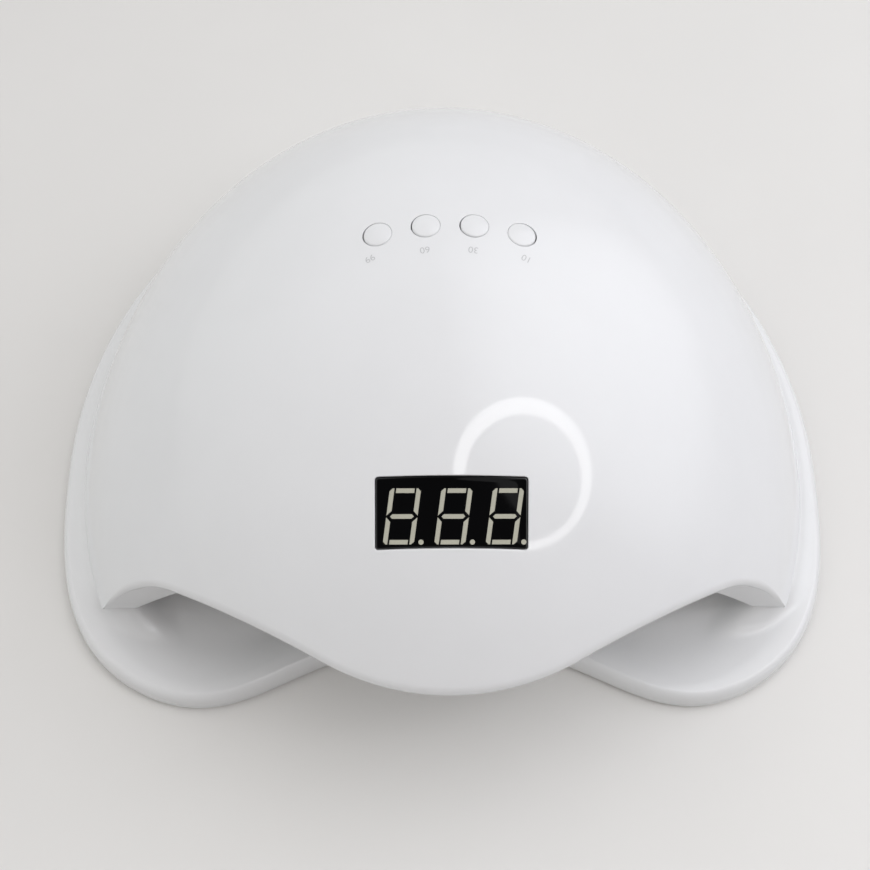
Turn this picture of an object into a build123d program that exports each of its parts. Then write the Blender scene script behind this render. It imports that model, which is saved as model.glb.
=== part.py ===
from build123d import *
import math
import os

# Gel nail lamp: a domed housing that stands on a removable base tray.
# Millimetres. Origin at the centre of the footprint on the table, +Z up, the hand goes in along +Y.

# Overall form
HEIGHT = 102.0
DOME_HALF_WIDTH = 111.2
DOME_HALF_DEPTH = 119.7
DOME_CENTRE_Y = -20.35
DOME_EQUATOR_DROP = 51.9
DOME_LEAN = 0.163
VISOR_TIP_Y = -105.7
PILLAR_FACE_Y = -69.15
VISOR_SLOPE = 28.4
VISOR_NOSE_RADIUS = 68.0
VISOR_SHOULDER_RADIUS = 40.0
FASCIA_SETBACK = 21.7
FASCIA_SLOPE = 16.0
FASCIA_NOSE_RADIUS = 100.0
COVER_WALL = 2.8
FASCIA_WALL = 2.6

# Hand cavity
VAULT_CENTRE_Y = -28.9
VAULT_EQUATOR_DROP = 100.0
SIDE_GAP = 12.35
BACK_GAP = 21.0
SERVICE_HEIGHT = 40.0
LINER_WALL = 2.0
LINER_FLOOR = 3.0
# Share of the way from the cavity's edge to the cover's wall where the foot ring is fastened
RING_SHARE = 0.45

# Base tray
SEAT_Z = 12.0
SEAT_GAP = 0.3
RIM_Z = 8.0
FLOOR_Z = 4.0
TRAY_BOTTOM_Z = 1.5
SIDE_LEDGE = 7.2
BACK_LEDGE = 6.35
WALL_DRAFT = 3.4
RIM_TOP = 3.4
# Run of the slope from the rim down to the floor, over the lobes and at the throat
LOBE_SLOPE = 16.0
THROAT_SLOPE = 6.0
# Where the floor starts to rise towards the front, and its slope in degrees
RAMP_Y = -64.0
RAMP_SLOPE = 14.0
RIM_ROUND = 1.6
SEAT_LIP = 0.6
SEAT_CORNER_RADIUS = 9.0
TRAY_WALL = 2.5
RIB_THICKNESS = 2.0
RIB_STEP = 20.0
# Front lobes: distance in from the tray's side, and place along Y, of the outline's turning points
LOBE_OUTLINE = ((1.7, -51.6), (14.1, -81.0), (46.6, -96.2), (80.4, -84.6))
THROAT_Y = -77.0
OUTLINE_STEPS = 9

# Feet
FOOT_RADIUS = 6.0
FOOT_RECESS = 1.0
FOOT_FIT = 0.05
FOOT_CHAMFER = 0.5
# Distance in from the tray's side, and place along Y
FOOT_PLACES = ((42.0, -80.0), (31.0, -8.0), (58.0, 50.0))

# Magnets in the housing's foot, discs in the tray's seat
# Radius of a magnet, as a share of the side gap
MAGNET_SHARE = 0.2025
MAGNET_HEIGHT = 2.6
DISC_RADIUS = 3.2
DISC_HEIGHT = 1.0
MAGNET_FIT = 0.05
MAGNET_Y = (-50.0, 68.0)

# Display module
DISPLAY_Y = -68.1
DISPLAY_LENGTH = 37.5
DISPLAY_WIDTH = 17.8
DISPLAY_DEPTH = 8.0
DISPLAY_SINK = 1.6
DISPLAY_FIT = 0.15
DISPLAY_CORNER = 0.8
# How far the long sides bow towards the crown
DISPLAY_BOW = 0.55
FILM_THICKNESS = 0.5
DIGIT_PITCH = 12.7
DIGIT_WIDTH = 7.7
DIGIT_HEIGHT = 13.9
DIGIT_SLANT = 7.5
# Middle of the figures in the display's face
DIGIT_MIDDLE = (0.42, -0.64)
SEGMENT_WIDTH = 1.13
SEGMENT_GAP = 0.45
SEGMENT_BEVEL = 0.7
SEGMENT_DEPTH = 0.8
POINT_RADIUS = 0.65
POINT_OFFSET = 1.7

# Buttons
BUTTON_NAMES = ("button_99", "button_60", "button_30", "button_10")
BUTTON_PLACES = ((-18.8, 4.05), (-6.3, 5.75), (6.3, 5.75), (18.8, 4.05))
BUTTON_HOLE_RADIUS = 3.85
BUTTON_CLEARANCE = 0.2
BUTTON_CROWN_HEIGHT = 0.7
BUTTON_CROWN_RADIUS = 14.0
BUTTON_FLANGE = 1.1
BUTTON_FLANGE_HEIGHT = 1.0
BUTTON_STEM_RADIUS = 1.6
BUTTON_TRAVEL = 0.4

# Tact switches
SWITCH_SIZE = 6.0
SWITCH_HEIGHT = 3.5
PLUNGER_RADIUS = 1.7
PLUNGER_RISE = 1.2
PLUNGER_DEPTH = 1.4
PLUNGER_FIT = 0.1
SWITCH_CHAMFER = 0.3

# Boards, and the posts and screws that hold them
BOARD_THICKNESS = 1.6
BOARD_CORNER = 1.5
CONTROL_DEPTH = 14.0
CONTROL_SIZE = (58.0, 24.0)
DISPLAY_BOARD_SIZE = (56.0, 24.0)
DRIVER_Y = 46.0
DRIVER_SIZE = (64.0, 30.0)
DRIVER_STANDOFF = 9.0
POST_RADIUS = 2.8
POST_INSET = 3.6
BOARD_SCREW_RADIUS = 1.1
BOARD_SCREW_HEAD = 2.2
BOARD_SCREW_HEAD_HEIGHT = 1.3
BOARD_SCREW_LENGTH = 3.6
SCREW_TIP_GAP = 0.3
# Play round a screw in the piece that it clamps, and in the post that it bites
SCREW_PLAY = 0.1
SCREW_FIT = 0.03
SEAT_CLEARANCE = 0.05

# Parts on the driver board
CAPACITOR_RADIUS = 4.0
CAPACITOR_HEIGHT = 9.0
CHOKE_SIZE = (12.0, 12.0, 6.0)
CHOKE_CORNER = 1.5
REGULATOR_SIZE = (8.0, 9.0, 3.0)
CONNECTOR_SIZE = (10.0, 6.0, 6.0)
CONNECTOR_WALL = 1.0
# Places on the driver board, along and across it
CAPACITOR_PLACES = ((-19.0, 4.0), (-8.0, 4.0))
CHOKE_PLACE = (6.0, 2.0)
REGULATOR_PLACE = (18.0, 4.0)
CONNECTOR_PLACES = ((-12.0, -10.0), (10.0, -10.0))
PART_ROUND = 0.8

# Screws that hold the liner in the cover
HOUSING_SCREW_RADIUS = 1.2
HOUSING_HEAD_RADIUS = 2.5
HOUSING_HEAD_HEIGHT = 1.6
HOUSING_SCREW_LENGTH = 8.0
HOUSING_SCREW_Y = (-30.0, 18.0, 60.0)

# LEDs of the hand cavity
LED_RADIUS = 2.8
LED_FLANGE = 0.7
LED_FLANGE_HEIGHT = 0.9
LED_PROUD = 1.4
LED_FIT = 0.15
PAD_RADIUS = 5.0
PAD_HEIGHT = 1.5
LED_LOW_Z = 24.0
LED_HIGH_Z = 42.0
TOP_ROWS = (-58.0, -34.0, -10.0)
TOP_COLUMNS = (-39.0, -13.0, 13.0, 39.0)
SIDE_ANGLES = (-14.0, 2.0, 18.0, 34.0)
BACK_ANGLES = (50.0, 76.0, 104.0, 130.0)

# Hand sensors in the pillars
SENSOR_RADIUS = 2.4
SENSOR_Z = 27.0
SENSOR_ANGLE = -19.0

# Power inlet
INLET_Z = 27.0
INLET_RECESS_RADIUS = 8.0
INLET_RECESS = 2.0
INLET_WALL = 4.6
INLET_PAD_RADIUS = 11.0
INLET_BARREL_RADIUS = 5.5
INLET_LENGTH = 14.0
INLET_BORE_RADIUS = 2.8
INLET_BORE_DEPTH = 9.5
INLET_FLANGE_RADIUS = 7.0
INLET_FLANGE_HEIGHT = 1.4
INLET_PIN_RADIUS = 1.05
INLET_NUT_RADIUS = 7.5
INLET_NUT_HEIGHT = 2.4
INLET_FIT = 0.1

# Larger than the lamp, and longer than any wall is thick
FAR = 200.0
THROUGH = 25.0
FOOT_Z = SEAT_Z + SEAT_GAP
MAGNET_RADIUS = MAGNET_SHARE * SIDE_GAP


class Ellipsoid:
    """An ellipsoid whose sections shift back with height, known by its footprint at the seat."""

    def __init__(self, half_width, half_depth, centre_y, top_z, drop, lean):
        self.drop = drop
        self.rise = top_z + drop
        shrink = math.sqrt(1 - ((SEAT_Z + drop) / self.rise) ** 2)
        self.across = half_width / shrink
        self.along = half_depth / shrink
        self.centre_y = centre_y
        self.lean = lean

    def middle(self, z):
        """Y of the centre of the section at a height."""
        return self.centre_y + self.lean * (z - SEAT_Z)

    def solid(self, grow=0.0):
        """The whole solid, with its three half axes grown by a wall."""
        across, along, rise = self.across + grow, self.along + grow, self.rise + grow
        return Sphere(1).rotate(Axis.Y, 90).transform_geometry(Matrix([
            [across, 0, 0, 0],
            [0, along, self.lean * rise, self.middle(-self.drop)],
            [0, 0, rise, -self.drop],
        ]))

    def section(self, z, grow=0.0):
        """Half width and half depth of the section at a height."""
        shrink = math.sqrt(1 - ((z + self.drop) / (self.rise + grow)) ** 2)
        return (self.across + grow) * shrink, (self.along + grow) * shrink

    def level(self, x, y, grow=0.0):
        """Height of the surface above a point of the plan."""
        low, high = -self.drop, self.rise + grow - self.drop
        for _ in range(60):
            z = (low + high) / 2
            half_width, half_depth = self.section(z, grow)
            inside = math.hypot(x / half_width, (y - self.middle(z)) / half_depth) < 1
            low, high = (z, high) if inside else (low, z)
        return low

    def point(self, angle, z, grow=0.0):
        """The point of the surface at a height, at an angle round from +X."""
        half_width, half_depth = self.section(z, grow)
        x = half_width * math.cos(math.radians(angle))
        return Vector(x, self.middle(z) + half_depth * math.sin(math.radians(angle)), z)

    def normal(self, point):
        """Outward normal at a point of the surface."""
        y = (point.Y - self.middle(point.Z)) / self.along ** 2
        z = (point.Z + self.drop) / self.rise ** 2 - self.lean * y
        return Vector(point.X / self.across ** 2, y, z).normalized()

    def plane(self, point):
        """A plane that touches the surface at a point, with its local X level."""
        normal = self.normal(point)
        level = Vector(0, 0, 1).cross(normal)
        level = Vector(1, 0, 0) if abs(point.X) < 1e-6 else -level
        return Plane(origin=point, x_dir=level, z_dir=normal)


dome = Ellipsoid(DOME_HALF_WIDTH, DOME_HALF_DEPTH, DOME_CENTRE_Y, HEIGHT, DOME_EQUATOR_DROP, DOME_LEAN)
DOME_BACK_Y = DOME_CENTRE_Y + DOME_HALF_DEPTH
vault = Ellipsoid(
    DOME_HALF_WIDTH - SIDE_GAP,
    DOME_BACK_Y - BACK_GAP - VAULT_CENTRE_Y,
    VAULT_CENTRE_Y,
    HEIGHT - SERVICE_HEIGHT,
    VAULT_EQUATOR_DROP,
    0.0,
)


def bell(tip_y, slope, nose_radius, shift=0.0):
    """Plan of what lies behind a bell-shaped line with flat shoulders and a round nose."""
    apex_y = tip_y - nose_radius * (1 / math.cos(math.radians(slope)) - 1)
    corner_x = (PILLAR_FACE_Y - apex_y) / math.tan(math.radians(slope))
    line = FilletPolyline(
        (-FAR, PILLAR_FACE_Y),
        (-corner_x, PILLAR_FACE_Y),
        (0, apex_y),
        (corner_x, PILLAR_FACE_Y),
        (FAR, PILLAR_FACE_Y),
        radius=[VISOR_SHOULDER_RADIUS, nose_radius, VISOR_SHOULDER_RADIUS],
    )
    back = Polyline((FAR, PILLAR_FACE_Y), (FAR, FAR), (-FAR, FAR), (-FAR, PILLAR_FACE_Y))
    return Pos(0, shift) * make_face(line.edges() + back.edges())


def prism(face, low, high):
    """A plan face raised between two heights."""
    return extrude(Pos(0, 0, low) * face, high - low)


def ring_place(y, share):
    """X on the foot ring at a Y, at a share of the way from the cavity's edge to the cover's wall."""
    inner_width, inner_depth = vault.section(SEAT_Z)
    outer_width, outer_depth = dome.section(SEAT_Z, -COVER_WALL)
    inner = inner_width * math.sqrt(max(0, 1 - ((y - VAULT_CENTRE_Y) / inner_depth) ** 2))
    outer = outer_width * math.sqrt(1 - ((y - DOME_CENTRE_Y) / outer_depth) ** 2)
    return inner + share * (outer - inner)


def mirrored(places):
    """Each place and its mirror image across the middle plane."""
    return [(side * x, y) for x, y in places for side in (-1, 1)]


def round_along(plane, radius, start, end):
    """A cylinder on a plane's normal, between two heights over the plane."""
    return plane.location * Pos(0, 0, (start + end) / 2) * Cylinder(radius, abs(end - start))


def corners(size, inset):
    """The four places inset from a rectangle's corners."""
    x, y = size[0] / 2 - inset, size[1] / 2 - inset
    return [(x, y), (-x, y), (-x, -y), (x, -y)]


# Places on the dome
display_point = Vector(0, DISPLAY_Y, dome.level(0, DISPLAY_Y))
display_plane = dome.plane(display_point)
button_middle = Vector(0, BUTTON_PLACES[1][1], dome.level(0, BUTTON_PLACES[1][1]))
button_plane = dome.plane(button_middle)
button_points = [Vector(x, y, dome.level(x, y)) for x, y in BUTTON_PLACES]
driver_point = Vector(0, DRIVER_Y, vault.level(0, DRIVER_Y, LINER_WALL))
driver_plane = vault.plane(driver_point)
inlet_y = dome.middle(INLET_Z) + dome.section(INLET_Z)[1]
inlet_plane = Plane(origin=(0, inlet_y - INLET_RECESS, INLET_Z), x_dir=(1, 0, 0), z_dir=(0, 1, 0))

BOARD_PILOT = (BOARD_SCREW_RADIUS, BOARD_SCREW_LENGTH)
HOUSING_PILOT = (HOUSING_SCREW_RADIUS, HOUSING_SCREW_LENGTH - LINER_FLOOR)
DRIVER_BOARD_TOP = DRIVER_STANDOFF + SEAT_CLEARANCE + BOARD_THICKNESS
DISPLAY_TOP = -DISPLAY_SINK
DISPLAY_BOARD_TOP = DISPLAY_TOP - FILM_THICKNESS - DISPLAY_DEPTH
SWITCH_TOP = SWITCH_HEIGHT - CONTROL_DEPTH
housing_screw_places = [(ring_place(y, RING_SHARE), y) for y in HOUSING_SCREW_Y]
magnet_places = [(ring_place(y, RING_SHARE), y) for y in MAGNET_Y]
foot_places = [(DOME_HALF_WIDTH + SIDE_LEDGE - x, y) for x, y in FOOT_PLACES]


# Top cover
def make_top_cover():
    visor = bell(VISOR_TIP_Y, VISOR_SLOPE, VISOR_NOSE_RADIUS)
    fascia_tip = VISOR_TIP_Y + FASCIA_SETBACK
    fascia_front = bell(fascia_tip, FASCIA_SLOPE, FASCIA_NOSE_RADIUS)
    fascia_back = bell(fascia_tip, FASCIA_SLOPE, FASCIA_NOSE_RADIUS, FASCIA_WALL)
    block = dome.solid() & prism(visor, FOOT_Z, HEIGHT + 1)
    slab = prism(fascia_front - fascia_back, -1, HEIGHT)
    cover = block - (dome.solid(-COVER_WALL) - slab) - vault.solid()

    # Posts inside the shell that take the screws
    inner = dome.solid(-COVER_WALL / 2)
    post_foot = FOOT_Z + LINER_FLOOR + SEAT_CLEARANCE
    seats = [
        (button_plane.location * Pos(x, y, SEAT_CLEARANCE - CONTROL_DEPTH), BOARD_PILOT)
        for x, y in corners(CONTROL_SIZE, POST_INSET)
    ]
    seats += [
        (display_plane.location * Pos(x, y, SEAT_CLEARANCE + DISPLAY_BOARD_TOP), BOARD_PILOT)
        for x, y in corners(DISPLAY_BOARD_SIZE, POST_INSET)
    ]
    seats += [(Pos(x, y, post_foot), HOUSING_PILOT) for x, y in mirrored(housing_screw_places)]
    posts = [seat * Pos(0, 0, FAR / 2) * Cylinder(POST_RADIUS, FAR) & inner for seat, _ in seats]
    pilots = [
        seat * Pos(0, 0, length / 2) * Cylinder(radius + SCREW_FIT, length)
        for seat, (radius, length) in seats
    ]
    inlet_pad = round_along(inlet_plane, INLET_PAD_RADIUS, -INLET_WALL, INLET_RECESS) & inner
    cover = cover + posts + inlet_pad

    # Openings in the shell
    window = display_plane * extrude(display_face(DISPLAY_FIT), THROUGH / 2, both=True)
    holes = [
        Plane(origin=point, z_dir=button_plane.z_dir) * Cylinder(BUTTON_HOLE_RADIUS, THROUGH)
        for point in button_points
    ]
    recess = round_along(inlet_plane, INLET_RECESS_RADIUS, 0, THROUGH)
    barrel = round_along(inlet_plane, INLET_BARREL_RADIUS + INLET_FIT, -THROUGH, THROUGH)
    return cover - pilots - window - holes - recess - barrel


# LEDs and hand sensors: each sits in a hole square to the cavity's wall
def led_places():
    side = [vault.point(a, z) for z in (LED_LOW_Z, LED_HIGH_Z) for a in SIDE_ANGLES]
    back = [vault.point(a, z) for z in (LED_LOW_Z, LED_HIGH_Z) for a in BACK_ANGLES]
    return {
        "right": side,
        "left": [Vector(-p.X, p.Y, p.Z) for p in side],
        "back": back,
        "top": [Vector(x, y, vault.level(x, y)) for x in TOP_COLUMNS for y in TOP_ROWS],
    }


def sensor_places():
    right = vault.point(SENSOR_ANGLE, SENSOR_Z)
    return {"hand_sensor_receiver": right, "hand_sensor_emitter": Vector(-right.X, right.Y, right.Z)}


def lamp_bead(point, radius):
    """A round-nosed LED: its nose reaches into the cavity, its flange seats behind the wall."""
    seat = LINER_WALL + SEAT_CLEARANCE
    with BuildPart() as bead:
        with BuildSketch(Plane.XZ):
            with BuildLine():
                Polyline(
                    (0, seat + LED_FLANGE_HEIGHT),
                    (radius + LED_FLANGE, seat + LED_FLANGE_HEIGHT),
                    (radius + LED_FLANGE, seat),
                    (radius, seat),
                    (radius, radius - LED_PROUD),
                )
                RadiusArc((radius, radius - LED_PROUD), (0, -LED_PROUD), radius)
                Line((0, -LED_PROUD), (0, seat + LED_FLANGE_HEIGHT))
            make_face()
        revolve(axis=Axis.Z)
    return vault.plane(point) * bead.part


def led_pad(point):
    """The round metal-core pad that carries one LED."""
    low = LINER_WALL + SEAT_CLEARANCE + LED_FLANGE_HEIGHT
    return round_along(vault.plane(point), PAD_RADIUS, low, low + PAD_HEIGHT)


# Inner liner
def make_inner_liner():
    fascia_tip = VISOR_TIP_Y + FASCIA_SETBACK
    behind_fascia = bell(fascia_tip, FASCIA_SLOPE, FASCIA_NOSE_RADIUS, FASCIA_WALL + SEAT_CLEARANCE)
    inside_cover = dome.solid(-COVER_WALL - SEAT_CLEARANCE * 2)
    floor = inside_cover & prism(behind_fascia, FOOT_Z, FOOT_Z + LINER_FLOOR)
    shell = vault.solid(LINER_WALL) & prism(behind_fascia, FOOT_Z, HEIGHT)
    posts = []
    pilots = []
    for x, y in corners(DRIVER_SIZE, POST_INSET):
        base = driver_plane.location * Pos(x, y, 0)
        posts.append(base * Pos(0, 0, (DRIVER_STANDOFF - THROUGH) / 2) * Cylinder(
            POST_RADIUS, DRIVER_STANDOFF + THROUGH))
        pilots.append(base * Pos(0, 0, DRIVER_STANDOFF - BOARD_SCREW_LENGTH / 2) * Cylinder(
            BOARD_SCREW_RADIUS + SCREW_FIT, BOARD_SCREW_LENGTH))
    liner = floor + shell + posts - vault.solid() - pilots
    holes = [
        round_along(vault.plane(p), LED_RADIUS + LED_FIT, -LINER_WALL, LINER_WALL * 2)
        for group in led_places().values() for p in group
    ]
    holes += [
        round_along(vault.plane(p), SENSOR_RADIUS + LED_FIT, -LINER_WALL, LINER_WALL * 2)
        for p in sensor_places().values()
    ]
    for x, y in mirrored(housing_screw_places):
        holes.append(Pos(x, y, FOOT_Z) * Cylinder(HOUSING_SCREW_RADIUS + SCREW_PLAY, THROUGH))
        holes.append(Pos(x, y, FOOT_Z) * Cylinder(
            HOUSING_HEAD_RADIUS + SCREW_PLAY, HOUSING_HEAD_HEIGHT * 2))
    for x, y in mirrored(magnet_places):
        holes.append(Pos(x, y, FOOT_Z) * Cylinder(MAGNET_RADIUS + MAGNET_FIT, MAGNET_HEIGHT * 2))
    return liner - holes


# Base tray
def tray_outline(inset=0.0):
    """Outline of the tray: an ellipse round the back, two lobes and a throat in front."""
    half_width = DOME_HALF_WIDTH + SIDE_LEDGE
    half_depth = DOME_BACK_Y + BACK_LEDGE - DOME_CENTRE_Y
    lobes = [(half_width - x, y) for x, y in LOBE_OUTLINE]
    edge = Spline((half_width, DOME_CENTRE_Y), *lobes, (0, THROAT_Y), tangents=((0, -1), (-1, 0)))
    steps = [step / OUTLINE_STEPS for step in range(OUTLINE_STEPS + 1)]
    inner = [edge @ step + (edge % step).rotate(Axis.Z, -90) * inset for step in steps]
    right = Spline(*inner, tangents=(edge % 0, edge % 1))
    back = EllipticalCenterArc(
        (0, DOME_CENTRE_Y), half_width - inset, half_depth - inset, start_angle=0, arc_size=180)
    return make_face(back.edges() + right.edges() + right.mirror(Plane.YZ).edges())


def seat_plan(grow):
    """Plan of the raised seat: the dome's footprint behind the pillar faces, grown by a margin."""
    footprint = Pos(0, DOME_CENTRE_Y) * Ellipse(DOME_HALF_WIDTH + grow, DOME_HALF_DEPTH + grow)
    front = Pos(0, FAR / 2 + PILLAR_FACE_Y - grow) * Rectangle(FAR * 2, FAR)
    plan = (footprint & front).face()
    front_corners = plan.vertices().sort_by(Axis.Y)[:2]
    return fillet(front_corners, SEAT_CORNER_RADIUS)


def cavity_plan(shrink):
    """Plan of the hand cavity at the seat, shrunk by a margin."""
    half_width, half_depth = vault.section(SEAT_Z)
    return Pos(0, VAULT_CENTRE_Y) * Ellipse(half_width - shrink, half_depth - shrink)


def above_ramp():
    """All that lies above the floor and above its rise towards the front."""
    rise = FAR * math.tan(math.radians(RAMP_SLOPE))
    side = Plane.YZ * Polyline(
        (RAMP_Y, FLOOR_Z), (RAMP_Y - FAR, FLOOR_Z + rise), (FAR, FLOOR_Z + rise), (FAR, FLOOR_Z), close=True)
    return extrude(make_face(side), FAR, both=True)


def make_base_tray():
    plate = loft([
        Pos(0, 0, z) * tray_outline(inset) for z, inset in
        ((TRAY_BOTTOM_Z, 0), (RIM_Z - RIM_ROUND, WALL_DRAFT - RIM_ROUND), (RIM_Z, WALL_DRAFT))
    ], ruled=True)
    rim = WALL_DRAFT + RIM_TOP
    dish = loft([
        Pos(0, 0, z) * tray_outline(inset) for z, inset in
        ((FLOOR_Z, rim + THROAT_SLOPE), (RIM_Z, rim), (SEAT_Z + 1, rim))
    ], ruled=True)
    lobes = loft([
        Pos(0, 0, FLOOR_Z) * tray_outline(rim + LOBE_SLOPE),
        Pos(0, 0, RIM_Z) * tray_outline(rim),
    ], ruled=True)
    slope = SEAT_Z - FLOOR_Z
    ridge = loft([
        Pos(0, 0, FLOOR_Z - 1) * seat_plan(SEAT_LIP + slope + 1),
        Pos(0, 0, SEAT_Z) * seat_plan(SEAT_LIP),
    ], ruled=True)
    ridge = ridge & prism(tray_outline(WALL_DRAFT), TRAY_BOTTOM_Z, SEAT_Z)
    bowl = loft([
        Pos(0, 0, FLOOR_Z) * cavity_plan(slope),
        Pos(0, 0, SEAT_Z + 1) * cavity_plan(-1),
    ], ruled=True)
    tray = plate - lobes - (bowl & dish & above_ramp()) + (ridge - bowl)

    # Hollow under the seat, with radial ribs
    half_width, half_depth = vault.section(SEAT_Z)
    channel = Pos(0, DOME_CENTRE_Y) * Ellipse(
        DOME_HALF_WIDTH - TRAY_WALL, DOME_HALF_DEPTH - TRAY_WALL)
    channel -= Pos(0, VAULT_CENTRE_Y) * Ellipse(half_width + TRAY_WALL, half_depth + TRAY_WALL)
    channel &= Pos(0, FAR / 2 + PILLAR_FACE_Y + TRAY_WALL * 2) * Rectangle(FAR * 2, FAR)
    ribs = [
        Pos(0, DOME_CENTRE_Y) * Rot(0, 0, turn * RIB_STEP) * Rectangle(FAR * 2, RIB_THICKNESS)
        for turn in range(round(180 / RIB_STEP))
    ]
    tray -= prism(channel - ribs, TRAY_BOTTOM_Z - 1, SEAT_Z - TRAY_WALL)

    feet = [
        Pos(x, y, TRAY_BOTTOM_Z) * Cylinder(FOOT_RADIUS + FOOT_FIT, FOOT_RECESS * 2)
        for x, y in mirrored(foot_places)
    ]
    discs = [
        Pos(x, y, SEAT_Z) * Cylinder(DISC_RADIUS + MAGNET_FIT, DISC_HEIGHT * 2)
        for x, y in mirrored(magnet_places)
    ]
    return tray - feet - discs


def make_rubber_feet():
    height = TRAY_BOTTOM_Z + FOOT_RECESS
    foot = Pos(0, 0, height / 2) * Cylinder(FOOT_RADIUS, height)
    foot = chamfer(foot.edges().sort_by(Axis.Z)[0], FOOT_CHAMFER)
    return [Pos(x, y) * foot for x, y in mirrored(foot_places)]


def make_discs(places, radius, low, height):
    return [Pos(x, y, low + height / 2) * Cylinder(radius, height) for x, y in mirrored(places)]


def make_housing_screws():
    head = Pos(0, 0, HOUSING_HEAD_HEIGHT / 2) * Cylinder(HOUSING_HEAD_RADIUS, HOUSING_HEAD_HEIGHT)
    shank = Pos(0, 0, HOUSING_SCREW_LENGTH / 2) * Cylinder(HOUSING_SCREW_RADIUS, HOUSING_SCREW_LENGTH)
    return [Pos(x, y, FOOT_Z) * (head + shank) for x, y in mirrored(housing_screw_places)]


# Display
def display_face(margin=0.0):
    """The display's outline grown by a margin: round corners, and long sides that bow."""
    x, y = DISPLAY_LENGTH / 2 + margin, DISPLAY_WIDTH / 2 + margin
    sides = [ThreePointArc((-x, side), (0, side + DISPLAY_BOW), (x, side)) for side in (-y, y)]
    ends = [Line((side, -y), (side, y)) for side in (-x, x)]
    face = make_face([line.edge() for line in sides + ends])
    return fillet(face.vertices(), DISPLAY_CORNER)


def figure_bars():
    """Corners of the seven bars of an upright figure: two square, one pointed, four cut at an angle."""
    outer, top = DIGIT_WIDTH / 2, DIGIT_HEIGHT / 2
    inner, low = outer - SEGMENT_WIDTH, top - SEGMENT_WIDTH
    half, end, tip = SEGMENT_WIDTH / 2, inner - SEGMENT_GAP, inner + SEGMENT_GAP / 2
    cut = SEGMENT_GAP / 2
    shoulder = tip - half
    bars = [[(-tip, 0), (-shoulder, half), (shoulder, half), (tip, 0), (shoulder, -half), (-shoulder, -half)]]
    for row in (-1, 1):
        bars.append([(-end, row * low), (end, row * low), (end, row * top), (-end, row * top)])
        upright = [
            (outer, cut), (inner, cut + SEGMENT_WIDTH), (inner, top),
            (outer - SEGMENT_BEVEL, top), (outer, top - SEGMENT_BEVEL),
        ]
        bars += [[(side * x, row * y) for x, y in upright] for side in (-1, 1)]
    return bars


def digit_faces(place):
    """The seven slanted bars and the point of one figure, in the display's plane."""
    lean = math.tan(math.radians(DIGIT_SLANT))
    middle_x, middle_y = place * DIGIT_PITCH + DIGIT_MIDDLE[0], DIGIT_MIDDLE[1]
    faces = [
        make_face(Polyline(*((middle_x + x + lean * y, middle_y + y) for x, y in bar), close=True))
        for bar in figure_bars()
    ]
    base = (SEGMENT_WIDTH - DIGIT_HEIGHT) / 2
    point_x = middle_x + DIGIT_WIDTH / 2 + lean * base + POINT_OFFSET
    return faces + [Pos(point_x, middle_y + base) * Circle(POINT_RADIUS)]


def make_display_segments():
    faces = [face for place in (-1, 0, 1) for face in digit_faces(place)]
    top = display_plane.location * Pos(0, 0, DISPLAY_TOP - FILM_THICKNESS - SEGMENT_DEPTH)
    return [top * extrude(face, SEGMENT_DEPTH, dir=(0, 0, 1)) for face in faces]


def make_display_housing(segments):
    low = display_plane.location * Pos(0, 0, DISPLAY_BOARD_TOP)
    return low * extrude(display_face(), DISPLAY_DEPTH, dir=(0, 0, 1)) - segments


def make_display_film():
    low = display_plane.location * Pos(0, 0, DISPLAY_TOP - FILM_THICKNESS)
    return low * extrude(display_face(), FILM_THICKNESS, dir=(0, 0, 1))


# Buttons and their switches
def make_button(point):
    """A button cap: low crown, skirt through the shell, retaining flange and stem."""
    axis = Plane(origin=point, x_dir=(1, 0, 0), z_dir=button_plane.z_dir)
    normal = dome.normal(point)
    rise = (point - button_middle).dot(button_plane.z_dir)
    tilt = math.acos(normal.dot(button_plane.z_dir))
    flange_radius = BUTTON_HOLE_RADIUS + BUTTON_FLANGE
    flange_top = -(COVER_WALL / math.cos(tilt) + flange_radius * math.tan(tilt) + BUTTON_CLEARANCE)
    flange_low = flange_top - BUTTON_FLANGE_HEIGHT
    stem_low = SWITCH_TOP + PLUNGER_RISE - rise
    crown = Pos(*(point + normal * (BUTTON_CROWN_HEIGHT - BUTTON_CROWN_RADIUS))) * Sphere(
        BUTTON_CROWN_RADIUS)
    skirt = round_along(
        axis, BUTTON_HOLE_RADIUS - BUTTON_CLEARANCE, flange_low, BUTTON_CROWN_HEIGHT * 2) & crown
    flange = round_along(axis, flange_radius, flange_low, flange_top)
    stem = round_along(axis, BUTTON_STEM_RADIUS, stem_low, flange_low)
    return skirt + flange + stem


def switch_places():
    """Places of the four switches on the control board, in the board's plane."""
    local = [button_plane.to_local_coords(point) for point in button_points]
    return [(point.X, point.Y) for point in local]


def make_plunger(place):
    low = SWITCH_TOP - PLUNGER_DEPTH
    return button_plane.location * Pos(*place, (low + SWITCH_TOP + PLUNGER_RISE) / 2) * Cylinder(
        PLUNGER_RADIUS, PLUNGER_DEPTH + PLUNGER_RISE)


def make_switch_bodies():
    bore_depth = PLUNGER_DEPTH + 2 * BUTTON_TRAVEL
    body = Pos(0, 0, SWITCH_TOP - SWITCH_HEIGHT / 2) * Box(SWITCH_SIZE, SWITCH_SIZE, SWITCH_HEIGHT)
    body = chamfer(body.edges().group_by(Axis.Z)[-1], SWITCH_CHAMFER)
    body -= Pos(0, 0, SWITCH_TOP - bore_depth / 2) * Cylinder(PLUNGER_RADIUS + PLUNGER_FIT, bore_depth)
    return [button_plane.location * Pos(*place) * body for place in switch_places()]


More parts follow.
